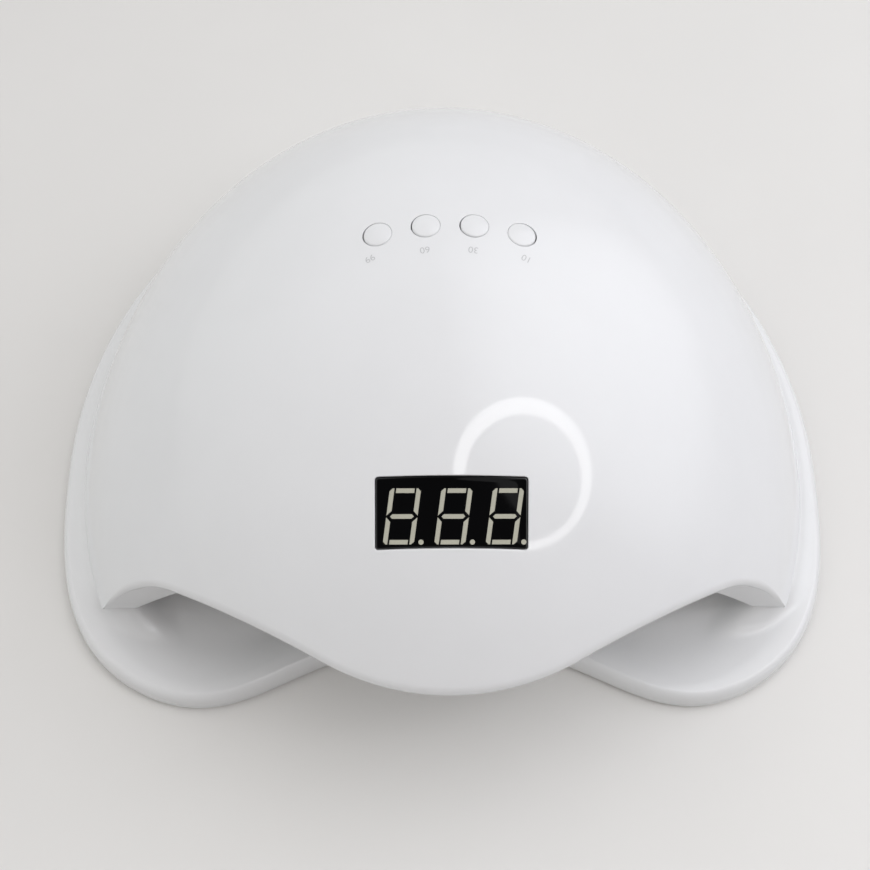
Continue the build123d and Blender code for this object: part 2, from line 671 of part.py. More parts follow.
# Boards
def make_board(plane, size, top):
    """A board with holes for the screws at its four corners."""
    face = RectangleRounded(*size, BOARD_CORNER)
    face -= [Pos(*place) * Circle(BOARD_SCREW_RADIUS + SCREW_PLAY) for place in corners(size, POST_INSET)]
    return plane.location * Pos(0, 0, top - BOARD_THICKNESS) * extrude(face, BOARD_THICKNESS)


def make_board_screws():
    """Pan-head screws: heads under the two upper boards, and on top of the driver board."""
    length = BOARD_THICKNESS + BOARD_SCREW_LENGTH - SCREW_TIP_GAP
    head = Pos(0, 0, -BOARD_SCREW_HEAD_HEIGHT / 2) * Cylinder(BOARD_SCREW_HEAD, BOARD_SCREW_HEAD_HEIGHT)
    screw = head + Pos(0, 0, length / 2) * Cylinder(BOARD_SCREW_RADIUS, length)
    flipped = Rot(180, 0, 0) * screw
    boards = (
        (button_plane, CONTROL_SIZE, -CONTROL_DEPTH - BOARD_THICKNESS, screw),
        (display_plane, DISPLAY_BOARD_SIZE, DISPLAY_BOARD_TOP - BOARD_THICKNESS, screw),
        (driver_plane, DRIVER_SIZE, DRIVER_BOARD_TOP, flipped),
    )
    return [
        plane.location * Pos(x, y, seat) * piece
        for plane, size, seat, piece in boards for x, y in corners(size, POST_INSET)
    ]


def make_driver_parts():
    """Two capacitors, a choke, a regulator and a connector, seated on the driver board."""
    capacitor = Pos(0, 0, CAPACITOR_HEIGHT / 2) * Cylinder(CAPACITOR_RADIUS, CAPACITOR_HEIGHT)
    capacitor = fillet(capacitor.edges().sort_by(Axis.Z)[-1], PART_ROUND)
    choke = Pos(0, 0, CHOKE_SIZE[2] / 2) * Box(*CHOKE_SIZE)
    choke = chamfer(choke.edges().filter_by(Axis.Z), CHOKE_CORNER)
    regulator = Pos(0, 0, REGULATOR_SIZE[2] / 2) * Box(*REGULATOR_SIZE)
    connector = Pos(0, 0, CONNECTOR_SIZE[2] / 2) * Box(*CONNECTOR_SIZE)
    length, width, height = CONNECTOR_SIZE
    connector -= Pos(0, 0, height) * Box(
        length - 2 * CONNECTOR_WALL, width - 2 * CONNECTOR_WALL, height)
    top = driver_plane.location * Pos(0, 0, DRIVER_BOARD_TOP)
    placed = [(place, capacitor) for place in CAPACITOR_PLACES]
    placed += [(CHOKE_PLACE, choke), (REGULATOR_PLACE, regulator)]
    placed += [(place, connector) for place in CONNECTOR_PLACES]
    return [top * Pos(*place) * piece for place, piece in placed]


# Power inlet
def make_inlet_body():
    flange_top = SEAT_CLEARANCE + INLET_FLANGE_HEIGHT
    barrel = round_along(inlet_plane, INLET_BARREL_RADIUS, -INLET_LENGTH, flange_top)
    flange = round_along(inlet_plane, INLET_FLANGE_RADIUS, SEAT_CLEARANCE, flange_top)
    bore = round_along(inlet_plane, INLET_BORE_RADIUS, flange_top - INLET_BORE_DEPTH, flange_top + 1)
    return barrel + flange - bore


def make_inlet_pin():
    flange_top = SEAT_CLEARANCE + INLET_FLANGE_HEIGHT
    return round_along(inlet_plane, INLET_PIN_RADIUS, flange_top - INLET_BORE_DEPTH, flange_top - 1)


def make_inlet_nut():
    face = RegularPolygon(INLET_NUT_RADIUS, 6) - Circle(INLET_BARREL_RADIUS + INLET_FIT)
    low = -INLET_WALL - SEAT_CLEARANCE - INLET_NUT_HEIGHT
    return inlet_plane.location * Pos(0, 0, low) * extrude(face, INLET_NUT_HEIGHT)


def make_parts():
    """Every piece by the name of its node: one solid, or a list of separate solids."""
    segments = make_display_segments()
    parts = {
        "base_tray": make_base_tray(),
        "rubber_feet": make_rubber_feet(),
        "tray_discs": make_discs(magnet_places, DISC_RADIUS, SEAT_Z - DISC_HEIGHT, DISC_HEIGHT),
        "top_cover": make_top_cover(),
        "inner_liner": make_inner_liner(),
        "head_magnets": make_discs(magnet_places, MAGNET_RADIUS, FOOT_Z, MAGNET_HEIGHT),
        "housing_screws": make_housing_screws(),
        "display_segments": segments,
        "display_housing": make_display_housing(segments),
        "display_film": make_display_film(),
        "display_board": make_board(display_plane, DISPLAY_BOARD_SIZE, DISPLAY_BOARD_TOP),
        "control_board": make_board(button_plane, CONTROL_SIZE, -CONTROL_DEPTH),
        "switch_bodies": make_switch_bodies(),
        "driver_board": make_board(driver_plane, DRIVER_SIZE, DRIVER_BOARD_TOP),
        "driver_parts": make_driver_parts(),
        "board_screws": make_board_screws(),
        "inlet_body": make_inlet_body(),
        "inlet_pin": make_inlet_pin(),
        "inlet_nut": make_inlet_nut(),
    }
    for name, point, place in zip(BUTTON_NAMES, button_points, switch_places()):
        parts[name] = make_button(point)
        parts[name.replace("button", "plunger")] = make_plunger(place)
    for name, points in led_places().items():
        parts[f"leds_{name}"] = [lamp_bead(point, LED_RADIUS) for point in points]
        parts[f"led_pads_{name}"] = [led_pad(point) for point in points]
    for name, point in sensor_places().items():
        parts[name] = lamp_bead(point, SENSOR_RADIUS)
    return parts


def main():
    os.makedirs("parts", exist_ok=True)
    for name, piece in make_parts().items():
        solids = piece if isinstance(piece, list) else [piece]
        node = Compound(children=[solid for one in solids for solid in one.solids()])
        export_step(node, f"parts/{name}.step")
        print(name, len(node.solids()), round(node.volume, 1))


if __name__ == "__main__":
    main()
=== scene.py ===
"""Gel nail lamp: a glossy white domed housing on a lift-off base tray, dressed for its picture."""

import logging
import math
from collections.abc import Callable, Iterable, Sequence
from dataclasses import dataclass, field, replace
from enum import Enum
from functools import partial

import bpy
import numpy as np
from mathutils import Matrix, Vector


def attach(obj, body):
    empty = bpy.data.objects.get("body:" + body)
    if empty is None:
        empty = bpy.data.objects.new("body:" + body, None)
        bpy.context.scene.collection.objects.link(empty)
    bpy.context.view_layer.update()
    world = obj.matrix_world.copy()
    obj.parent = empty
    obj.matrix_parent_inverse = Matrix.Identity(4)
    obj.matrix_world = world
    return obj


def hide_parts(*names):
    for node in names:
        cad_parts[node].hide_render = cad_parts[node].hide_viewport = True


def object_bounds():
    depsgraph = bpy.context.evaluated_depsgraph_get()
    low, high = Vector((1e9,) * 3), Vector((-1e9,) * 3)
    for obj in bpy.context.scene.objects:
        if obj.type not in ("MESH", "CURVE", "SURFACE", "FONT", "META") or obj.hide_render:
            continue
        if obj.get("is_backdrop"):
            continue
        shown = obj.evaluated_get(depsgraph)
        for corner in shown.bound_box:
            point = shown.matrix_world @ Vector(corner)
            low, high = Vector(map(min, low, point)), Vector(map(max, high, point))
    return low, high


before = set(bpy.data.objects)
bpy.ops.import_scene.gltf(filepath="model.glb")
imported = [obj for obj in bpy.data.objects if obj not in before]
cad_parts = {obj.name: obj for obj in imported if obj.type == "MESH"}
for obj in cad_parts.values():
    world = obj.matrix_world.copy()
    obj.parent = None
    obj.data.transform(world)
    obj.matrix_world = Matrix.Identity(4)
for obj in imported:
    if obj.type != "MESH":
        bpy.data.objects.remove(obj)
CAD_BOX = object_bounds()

Array = np.ndarray
Colour = tuple[float, float, float]
Point = tuple[float, float, float]
Plan = tuple[tuple[float, float], ...]
MeshData = tuple[Array, list[list[int]]]
Outline = Callable[[float], Array]
LOG = logging.getLogger("nail_lamp")

# All sizes below are millimetres, and are scaled once, when a mesh is made.
MM = 0.001
SEAT_Z = 12.0
FOOT_Z = 12.3
INLET_Z = 27.0
PILLAR_FACE_Y = -69.15
CENTRE_Y = -20.35
FAR = 260.0
BUTTON_NUMBERS = ("99", "60", "30", "10")
X_AXIS, Y_AXIS, Z_AXIS = np.eye(3)
MIRROR = np.array([-1.0, 1.0, 1.0])


# ---- Plane and solid geometry ----
def smooth(value: Array, low: float, high: float) -> Array:
    """Rises from 0 to 1 between low and high, level at both ends: 3t^2 - 2t^3."""
    share = np.clip((value - low) / (high - low), 0.0, 1.0)
    return share * share * (3.0 - 2.0 * share)


def soft_min(a: Array, b: Array | float, blend: float) -> Array:
    """The lesser of two fields, with the crease rounded over the blend width."""
    share = np.clip(0.5 + 0.5 * (b - a) / blend, 0.0, 1.0)
    return b * (1.0 - share) + a * share - blend * share * (1.0 - share)


def soft_max(a: Array, b: Array | float, blend: float) -> Array:
    """The greater of two fields, with the crease rounded over the blend width."""
    return -soft_min(-a, -b, blend)


def unit(vectors: Array) -> Array:
    """Vectors scaled to length 1."""
    return vectors / np.linalg.norm(vectors, axis=-1, keepdims=True)


def circle(segments: int) -> Array:
    """Points of the unit circle, round from +X."""
    turn = np.arange(segments) / segments * 2.0 * math.pi
    return np.stack([np.cos(turn), np.sin(turn)], axis=-1)


def raised(flat: Array, height: Array | float) -> Array:
    """Plan points with a height added, one for all or one for each."""
    return np.concatenate([flat, np.broadcast_to(height, flat.shape[:-1])[..., None]], axis=-1)


@dataclass(frozen=True)
class Placement:
    """Where a small round or flat thing sits: an origin and three axes."""

    origin: Array
    across: Array
    along: Array
    axis: Array

    @classmethod
    def upright(cls, x: float, y: float, z: float) -> "Placement":
        """A placement with level axes and its axis straight up."""
        return cls(np.array([x, y, z]), X_AXIS, Y_AXIS, Z_AXIS)

    @classmethod
    def square_to_x(cls, origin: Array, axis: Array) -> "Placement":
        """A placement with an axis that is square to X, and X as its across axis."""
        return cls(origin, X_AXIS, np.cross(axis, X_AXIS), axis)

    @classmethod
    def facing(cls, origin: Array, axis: Array) -> "Placement":
        """A placement with its axis along a direction other than Y, and its across axis level."""
        across = unit(np.cross(Y_AXIS, axis))
        return cls(origin, across, np.cross(axis, across), axis)

    def place(self, local: Array) -> Array:
        """Local points (across, along, axis) as points of the lamp."""
        return self.origin + local @ np.stack([self.across, self.along, self.axis])


@dataclass(frozen=True)
class Ellipsoid:
    """An ellipsoid whose level sections shift back with height, known by its footprint at the seat."""

    half_width: float
    half_depth: float
    centre_y: float
    top_z: float
    drop: float
    lean: float = 0.0

    @property
    def radii(self) -> Array:
        """The three half axes.

        Returns:
            The half axes across, along and up.
        """
        rise = self.top_z + self.drop
        shrink = math.sqrt(1.0 - ((SEAT_Z + self.drop) / rise) ** 2)
        return np.array([self.half_width / shrink, self.half_depth / shrink, rise])

    def unbend(self, points: Array) -> Array:
        """Takes the lean off, so that the form is a plain ellipsoid.

        Args:
            points: Points of the lamp.

        Returns:
            The points about the form's centre.
        """
        up = points[..., 2] + self.drop
        back = points[..., 1] - self.centre_y + self.lean * (SEAT_Z + self.drop) - self.lean * up
        return np.stack([points[..., 0], back, up], axis=-1)

    def reach(self, points: Array, direction: Array, grow: float = 0.0) -> Array:
        """How far points travel along a direction to leave the form, from |p + t d| = 1 on the unit ball.

        Args:
            points: Points of the lamp, one a row.
            direction: The direction of travel, a unit vector.
            grow: How much longer the half axes are.

        Returns:
            One distance for each point.
        """
        radii = self.radii + grow
        start = self.unbend(points) / radii
        step = np.array([direction[0], direction[1] - self.lean * direction[2], direction[2]]) / radii
        a, b, c = step @ step, start @ step, np.sum(start * start, axis=-1) - 1.0
        return (-b + np.sqrt(np.maximum(b * b - a * c, 0.0))) / a

    def level(self, x: Array, y: Array, grow: float = 0.0) -> Array:
        """Height of the surface over points of the plan."""
        x, y = np.broadcast_arrays(np.asarray(x, float), np.asarray(y, float))
        return self.reach(np.stack([x, y, np.zeros_like(x)], axis=-1), Z_AXIS, grow)

    def lift(self, x: Array | float, y: Array | float) -> Array:
        """Points of the surface over points of the plan."""
        x, y = np.broadcast_arrays(np.asarray(x, float), np.asarray(y, float))
        return np.stack([x, y, self.level(x, y)], axis=-1)

    def slope(self, points: Array) -> Array:
        """Half the gradient of the sum of the squared shares of the half axes, which points outwards."""
        share = self.unbend(points) / self.radii ** 2
        return np.stack([share[..., 0], share[..., 1], share[..., 2] - self.lean * share[..., 1]], axis=-1)

    def normal(self, points: Array) -> Array:
        """Outward unit normals."""
        return unit(self.slope(points))

    def distance(self, points: Array) -> Array:
        """About how far points lie outside: the excess of the squared shares over 1, by its gradient."""
        excess = np.sum((self.unbend(points) / self.radii) ** 2, axis=-1) - 1.0
        return excess / (2.0 * np.linalg.norm(self.slope(points), axis=-1))

    def section(self, z: float) -> tuple[float, float, float]:
        """Half width, half depth and middle Y of the level section at a height."""
        shrink = math.sqrt(1.0 - ((z + self.drop) / self.radii[2]) ** 2)
        return self.radii[0] * shrink, self.radii[1] * shrink, self.centre_y + self.lean * (z - SEAT_Z)

    def around(self, angle: float, z: float) -> Array:
        """The surface point at a height, at an angle in degrees round from +X."""
        (half_width, half_depth, middle), turn = self.section(z), math.radians(angle)
        return np.array([half_width * math.cos(turn), middle + half_depth * math.sin(turn), z])

    def pillar_angle(self) -> float:
        """Finds where the form meets the pillar faces at the foot.

        Returns:
            The direction there from the centre, in radians.
        """
        half_width, half_depth, middle = self.section(FOOT_Z)
        x = half_width * math.sqrt(1.0 - ((PILLAR_FACE_Y - middle) / half_depth) ** 2)
        return math.atan2(PILLAR_FACE_Y - CENTRE_Y, x)

    def beyond(self, x: Array, y: Array) -> Array:
        """About how far plan points lie outside the footprint at the seat, for an ellipse h(x, y) = 1.

        Args:
            x: X of each point.
            y: Y of each point.

        Returns:
            (h - 1) h over the length of half the gradient of h^2.
        """
        y = y - self.centre_y
        level = np.hypot(x / self.half_width, y / self.half_depth)
        slope = np.hypot(x / self.half_width ** 2, y / self.half_depth ** 2)
        return (level - 1.0) * level / np.maximum(slope, 1e-6)

    def footprint(self, angles: Array, grow: float) -> Array:
        """Distance from the centre to the footprint at the seat, grown, along each angle."""
        half_width, half_depth = self.half_width + grow, self.half_depth + grow
        return reach_out(lambda x, y: np.hypot(x / half_width, (y - self.centre_y) / half_depth) < 1, angles)


@dataclass(frozen=True)
class Bell:
    """A bell-shaped line in plan: a round nose, straight flanks and hollow shoulders that end flat."""

    tip_y: float
    slope: float
    nose_radius: float
    shoulder_radius: float = 40.0

    def line(self, x: Array) -> Array:
        """The line's formula: an arc, a straight flank, a reversed arc, then level.

        Args:
            x: X of each point.

        Returns:
            Y of the line at each X.
        """
        x, tilt = np.abs(x), math.radians(self.slope)
        nose_radius, shoulder_radius = self.nose_radius, self.shoulder_radius
        apex = self.tip_y - nose_radius * (1.0 / math.cos(tilt) - 1.0)
        corner = (PILLAR_FACE_Y - apex) / math.tan(tilt)
        tangent = shoulder_radius * math.tan(tilt / 2.0)
        nose = self.tip_y + nose_radius - np.sqrt(np.maximum(nose_radius ** 2 - x ** 2, 0.0))
        flank = apex + x * math.tan(tilt)
        hollow = PILLAR_FACE_Y - shoulder_radius + np.sqrt(
            np.maximum(shoulder_radius ** 2 - (x - corner - tangent) ** 2, 0.0))
        ends = (nose_radius * math.sin(tilt), corner - tangent * math.cos(tilt), corner + tangent)
        return np.select([x < end for end in ends], [nose, flank, hollow], PILLAR_FACE_Y)


DOME = Ellipsoid(111.2, 119.7, CENTRE_Y, 102.0, 51.9, 0.163)
VAULT = Ellipsoid(98.85, 107.25, -28.9, 62.0, 100.0)
VISOR = Bell(-105.7, 28.4, 68.0)
FASCIA = Bell(-84.0, 16.0, 100.0)


@dataclass(frozen=True)
class Fan:
    """Rays round from +X about the middle of the plan, along which rings are laid."""

    angles: Array

    def plan(self, radius: Array) -> tuple[Array, Array]:
        """X and Y at a distance along each ray."""
        return radius * np.cos(self.angles), CENTRE_Y + radius * np.sin(self.angles)

    def at(self, radius: Array, height: Array | float) -> Array:
        """Points at a distance along each ray and at a height."""
        return raised(np.stack(self.plan(radius), axis=-1), height)

    def on(self, form: Ellipsoid, radius: Array, grow: float = 0.0) -> Array:
        """Height of a form at a distance along each ray."""
        return form.level(*self.plan(radius), grow)

    def vault(self, radius: Array) -> Array:
        """Height of the vault at a distance along each ray, no lower than the housing's foot."""
        return np.maximum(self.on(VAULT, radius), FOOT_Z)


def reach_out(inside: Callable[[Array, Array], Array], angles: Array) -> Array:
    """Distance from the centre to the edge of a plan along each angle, halved down to a point.

    Args:
        inside: Tells which plan points lie inside.
        angles: Directions round from +X, in radians.

    Returns:
        One distance for each angle.
    """
    fan = Fan(angles)
    low, high = np.zeros_like(angles), np.full_like(angles, FAR)
    for _ in range(48):
        middle = (low + high) / 2.0
        hit = inside(*fan.plan(middle))
        low, high = np.where(hit, middle, low), np.where(hit, high, middle)
    return low


def even_angles(radius: Callable[[Array], Array], stops: Sequence[float], counts: Sequence[int]) -> Array:
    """Angles evenly spaced by length along an edge, with an angle exactly on each stop.

    Args:
        radius: Distance from the centre to the edge at each angle.
        stops: Rising angles in radians, the last one turn past the first.
        counts: How many steps each stretch between stops takes.

    Returns:
        The angles, without the last stop.
    """
    parts = []
    for start, end, count in zip(stops[:-1], stops[1:], counts):
        fine = np.linspace(start, end, 1500)
        x, y = Fan(fine).plan(radius(fine))
        length = np.concatenate([[0.0], np.cumsum(np.hypot(np.diff(x), np.diff(y)))])
        parts.append(np.interp(np.arange(count) / count * length[-1], length, fine))
    return np.concatenate(parts)


# ---- Mesh making ----
def add(name: str, data: bpy.types.ID) -> bpy.types.Object:
    """Adds an object to the scene, at the origin.

    Args:
        name: Its name.
        data: Its mesh, text, lamp or camera.

    Returns:
        The object.
    """
    thing = bpy.data.objects.new(name, data)
    bpy.context.scene.collection.objects.link(thing)
    return thing


def make_object(name: str, vertices: Array, faces: list[list[int]]) -> bpy.types.Object:
    """Puts points and faces into a new smooth object at the origin.

    Args:
        name: Its name.
        vertices: The points, in millimetres.
        faces: The corners of each face.

    Returns:
        The object.
    """
    mesh = bpy.data.meshes.new(name)
    mesh.from_pydata((vertices * MM).tolist(), [], faces)
    mesh.validate()
    mesh.shade_smooth()
    return add(name, mesh)


def coordinates(mesh: bpy.types.Mesh) -> Array:
    """Reads the points of a mesh.

    Args:
        mesh: The mesh.

    Returns:
        The points, in the mesh's own units.
    """
    points = np.empty(len(mesh.vertices) * 3)
    mesh.vertices.foreach_get("co", points)
    return points.reshape(-1, 3)


def evaluated(thing: bpy.types.Object) -> bpy.types.Mesh:
    """The mesh of a thing with its modifiers or its text worked out."""
    graph = bpy.context.evaluated_depsgraph_get()
    return bpy.data.meshes.new_from_object(thing.evaluated_get(graph))


def paint(piece: bpy.types.Object, name: str, values: Array) -> None:
    """Stores a number for each point of a piece, which its material reads by name."""
    attribute = piece.data.attributes.new(name, "FLOAT", "POINT")
    attribute.data.foreach_set("value", values.astype(np.float32))


def merge(parts: Iterable[MeshData]) -> MeshData:
    """Puts several meshes into one.

    Args:
        parts: The points and faces of each.

    Returns:
        The points and faces of all.
    """
    vertices, faces, first = [], [], 0
    for points, part in parts:
        vertices.append(points)
        faces += [[first + corner for corner in face] for face in part]
        first += len(points)
    return np.concatenate(vertices), faces


def skin(rings: Array, flip: bool = False) -> MeshData:
    """A closed skin over rings, whose first and last rings are drawn together into a pole.

    Args:
        rings: Points as (ring, column, 3).
        flip: Turns the faces over.

    Returns:
        The points and the faces.
    """
    vertices = np.concatenate([rings[[0, -1]].mean(axis=1), rings[1:-1].reshape(-1, 3)])
    index = np.arange(2, len(vertices)).reshape(len(rings) - 2, -1)
    after = np.roll(index, -1, axis=1)
    quads = np.stack([index[:-1], after[:-1], after[1:], index[1:]], axis=-1).reshape(-1, 4)
    start = np.stack([np.zeros_like(index[0]), after[0], index[0]], axis=-1)
    end = np.stack([np.ones_like(index[0]), index[-1], after[-1]], axis=-1)
    faces = []
    for part in (quads, start, end):
        faces += (part[:, ::-1] if flip else part).tolist()
    return vertices, faces


def skins(name: str, parts: Iterable[Array], flip: bool = False) -> bpy.types.Object:
    """One object of several closed skins, such as a row of equal lenses."""
    return make_object(name, *merge(skin(rings, flip) for rings in parts))


def prism(flat: Array, top: float, low: float) -> MeshData:
    """A plate between two heights.

    Args:
        flat: Its outline, as plan points.
        top: Height of its upper face.
        low: Height of its lower face.

    Returns:
        The points and the faces.
    """
    count = len(flat)
    upper = list(range(count))
    sides = [[i, i + count, (i + 1) % count + count, (i + 1) % count] for i in upper]
    return np.concatenate([raised(flat, top), raised(flat, low)]), [upper, [i + count for i in upper[::-1]], *sides]


def turned(profile: Array, place: Placement, segments: int) -> Array:
    """Rings of a shape turned about a placement's axis.

    Args:
        profile: Radius and height of each ring, the first and last with radius 0.
        place: Where the shape sits.
        segments: Columns round the axis.

    Returns:
        The rings as (ring, column, 3).
    """
    return place.place(raised(profile[:, 0, None, None] * circle(segments), profile[:, 1, None]))


def drum(radius: float, place: Placement, segments: int) -> MeshData:
    """A tool for a round recess, 1 mm to either side of a face."""
    profile = np.array([(0.0, -1.0), (radius, -1.0), (radius, 1.0), (0.0, 1.0)])
    return skin(turned(profile, place, segments))


def rounded(points: Plan, radii: Sequence[float], steps: int = 5) -> Array:
    """A polyline whose corners are rounded by tangent curves.

    Args:
        points: The corners, from first to last.
        radii: How far from each inner corner its curve starts.
        steps: Points on each curve.

    Returns:
        The points of the rounded line.
    """
    corners = np.asarray(points, float)
    line = [corners[:1]]
    share = np.linspace(0.0, 1.0, steps)[:, None]
    for before, corner, after, radius in zip(corners[:-2], corners[1:-1], corners[2:], radii):
        if radius <= 0.0:
            line.append(corner[None])
            continue
        start = corner + unit(before - corner) * radius
        end = corner + unit(after - corner) * radius
        line.append((1 - share) ** 2 * start + 2 * share * (1 - share) * corner + share ** 2 * end)
    line.append(corners[-1:])
    return np.concatenate(line)


def edge_sharp(piece: bpy.types.Object, angle: float = 38.0) -> None:
    """Keeps edges crisp where faces meet at more than an angle."""
    piece.data.set_sharp_from_angle(angle=math.radians(angle))


def carve(piece: bpy.types.Object, cutters: Iterable[MeshData]) -> None:
    """Cuts closed tools that don't touch each other out of a piece.

    Args:
        piece: The piece to cut.
        cutters: The tools.
    """
    tool = make_object("carving_tool", *merge(cutters))
    cut = piece.modifiers.new("Carve", "BOOLEAN")
    cut.operation = "DIFFERENCE"
    cut.solver = "EXACT"
    cut.object = tool
    mesh = evaluated(piece)
    piece.modifiers.clear()
    piece.data = mesh
    mesh.shade_smooth()
    bpy.data.objects.remove(tool)


def follow_surface(piece: bpy.types.Object, form: Ellipsoid, side: float) -> None:
    """Gives every face corner that lies on an exact form that form's own normal.

    Args:
        piece: The piece to shade.
        form: The form.
        side: 1 where the form faces outwards and -1 where it faces in.
    """
    mesh = piece.data
    points = coordinates(mesh) / MM
    corner = np.empty(len(mesh.loops), np.int64)
    mesh.loops.foreach_get("vertex_index", corner)
    faces = np.empty(len(mesh.polygons) * 3)
    mesh.polygons.foreach_get("normal", faces)
    totals = np.empty(len(mesh.polygons), np.int64)
    mesh.polygons.foreach_get("loop_total", totals)
    face_normal = np.repeat(faces.reshape(-1, 3), totals, axis=0)
    near = np.abs(form.distance(points)) < 0.006
    normal = form.normal(points)[corner] * side
    on = near[corner] & (np.sum(normal * face_normal, axis=-1) > 0.9)
    mesh.normals_split_custom_set(np.where(on[:, None], normal, 0.0).tolist())


def rim_tool(
    form: Ellipsoid, place: Placement, outline: Outline, depth: float, rounding: float, side: float = 1.0,
) -> MeshData:
    """A tool that cuts a straight-walled opening whose rim rolls over onto a curved surface.

    Its wall rises from the depth to just under the surface, a quarter arc rolls it outwards by the
    rounding, and it then leaves the surface straight.

    Args:
        form: The surface that is cut.
        place: Middle of the opening on the surface, with its axis out of the opening.
        outline: The opening's outline, as local points, grown by a distance.
        depth: How far the opening goes below the surface's lowest point in it.
        rounding: Radius of the rim.
        side: 1 where the axis leaves the form, -1 where it points into it.

    Returns:
        The tool's points and faces.
    """
    def surface(grow: float) -> tuple[Array, Array]:
        """The grown outline, and the form's height over each of its points."""
        flat = outline(grow)
        return flat, side * form.reach(place.place(raised(flat, 0.0)), side * place.axis)

    flat, height = surface(0.0)
    low = float(height.min()) - depth
    rings = [raised(flat * 0.0, low), raised(flat, low)]
    for turn in np.radians(np.linspace(0.0, 76.0, 7)):
        flat, height = surface(rounding * (1.0 - math.cos(turn)))
        rings.append(raised(flat, height - rounding * (1.0 - math.sin(turn))))
    top = float(height.max()) + 3.0
    rings += [raised(flat, top), raised(flat * 0.0, top)]
    return skin(place.place(np.stack(rings)))


def round_hole(radius: float, segments: int) -> Outline:
    """The outline of a round opening, as a function of how far it is grown."""
    return lambda grow: circle(segments) * (radius + grow)


@dataclass(frozen=True)
class Window:
    """A round-cornered window whose long sides both bow the same way: y gains bow (1 - (2 x / length)^2)."""

    length: float
    width: float
    corner: float = 0.8
    bow: float = 0.55
    step: float = 0.6

    def outline(self, grow: float) -> Array:
        """The outline, as quarter circles joined by straight runs, grown by a distance.

        Args:
            grow: How far each side moves out.

        Returns:
            The outline's plan points.
        """
        x, y = self.length / 2 - self.corner, self.width / 2 - self.corner
        corners = np.array([(x, y), (-x, y), (-x, -y), (x, -y)])
        parts = []
        for quarter, (middle, after) in enumerate(zip(corners, np.roll(corners, -1, axis=0))):
            turn = np.radians(np.linspace(0.0, 90.0, 7) + 90.0 * quarter)
            arc = middle + (self.corner + grow) * np.stack([np.cos(turn), np.sin(turn)], axis=-1)
            count = max(2, int(np.linalg.norm(after - middle) / self.step))
            parts += [arc, arc[-1] + (after - middle) * (np.arange(1, count) / count)[:, None]]
        flat = np.concatenate(parts)
        flat[:, 1] += self.bow * (1.0 - (2.0 * flat[:, 0] / self.length) ** 2)
        return flat


# ---- Shader graphs ----
class Shade:
    """A socket of a shader graph that takes part in Python arithmetic."""

    def __init__(self, graph: "Graph", socket: bpy.types.NodeSocket) -> None:
        """Holds the graph and the socket."""
        self.graph, self.socket = graph, socket

    def _maths(self, operation: str, *values: "Shade | float") -> "Shade":
        """A Math node on this graph."""
        return self.graph.node("ShaderNodeMath", {"operation": operation}, *values)

    def __add__(self, other: "Shade | float") -> "Shade":
        """Sum."""
        return self._maths("ADD", self, other)

    def __radd__(self, other: float) -> "Shade":
        """Sum, reflected."""
        return self._maths("ADD", other, self)

    def __sub__(self, other: "Shade | float") -> "Shade":
        """Difference."""
        return self._maths("SUBTRACT", self, other)

    def __rsub__(self, other: float) -> "Shade":
        """Difference, reflected."""
        return self._maths("SUBTRACT", other, self)

    def __mul__(self, other: "Shade | float") -> "Shade":
        """Product."""
        return self._maths("MULTIPLY", self, other)

    def __rmul__(self, other: float) -> "Shade":
        """Product, reflected."""
        return self._maths("MULTIPLY", other, self)

    def step(self, low: float, high: float) -> "Shade":
        """0 below low and 1 above high, smooth between."""
        return self.graph.node("ShaderNodeMapRange", {"interpolation_type": "SMOOTHSTEP"}, self, low, high)


class Graph:
    """A shader graph that nodes are added to."""

    def __init__(self, tree: bpy.types.NodeTree) -> None:
        """Holds the node tree."""
        self.tree = tree

    def feed(self, socket: bpy.types.NodeSocket, value: object) -> None:
        """Links a Shade to a socket or sets a value on it.

        Args:
            socket: The socket.
            value: A Shade to link, a value to set, or None to leave the socket alone.
        """
        if isinstance(value, Shade):
            self.tree.links.new(value.socket, socket)
        elif value is not None:
            socket.default_value = value

    def node(self, kind: str, settings: dict[str, object], *values: object, **named: object) -> Shade:
        """Adds a node.

        Args:
            kind: The node's type.
            settings: Its own settings, set first. A ramp's stops come under "stops".
            values: Values or links of its first sockets, None for one left alone.
            named: Values or links by socket name, and "output" for the output that is wanted.

        Returns:
            The wanted output, the first if none is named.
        """
        made = self.tree.nodes.new(kind)
        for key, value in settings.items():
            if key == "stops":
                self._ramp(made.color_ramp, value)
            else:
                setattr(made, key, value)
        output = named.pop("output", 0)
        pairs = list(zip(made.inputs, values)) + [(made.inputs[key], value) for key, value in named.items()]
        for socket, value in pairs:
            self.feed(socket, value)
        return Shade(self, made.outputs[output])

    def vector(self, operation: str, *values: object, **named: object) -> Shade:
        """A Vector Math node."""
        return self.node("ShaderNodeVectorMath", {"operation": operation}, *values, **named)

    @staticmethod
    def _ramp(ramp: bpy.types.ColorRamp, stops: Sequence[tuple[float, Colour]]) -> None:
        """Sets a colour ramp's stops.

        Args:
            ramp: The ramp.
            stops: The position and the colour of each stop.
        """
        while len(ramp.elements) < len(stops):
            ramp.elements.new(0.5)
        for element, (position, colour) in zip(ramp.elements, stops):
            element.position, element.color = position, (*colour, 1.0)


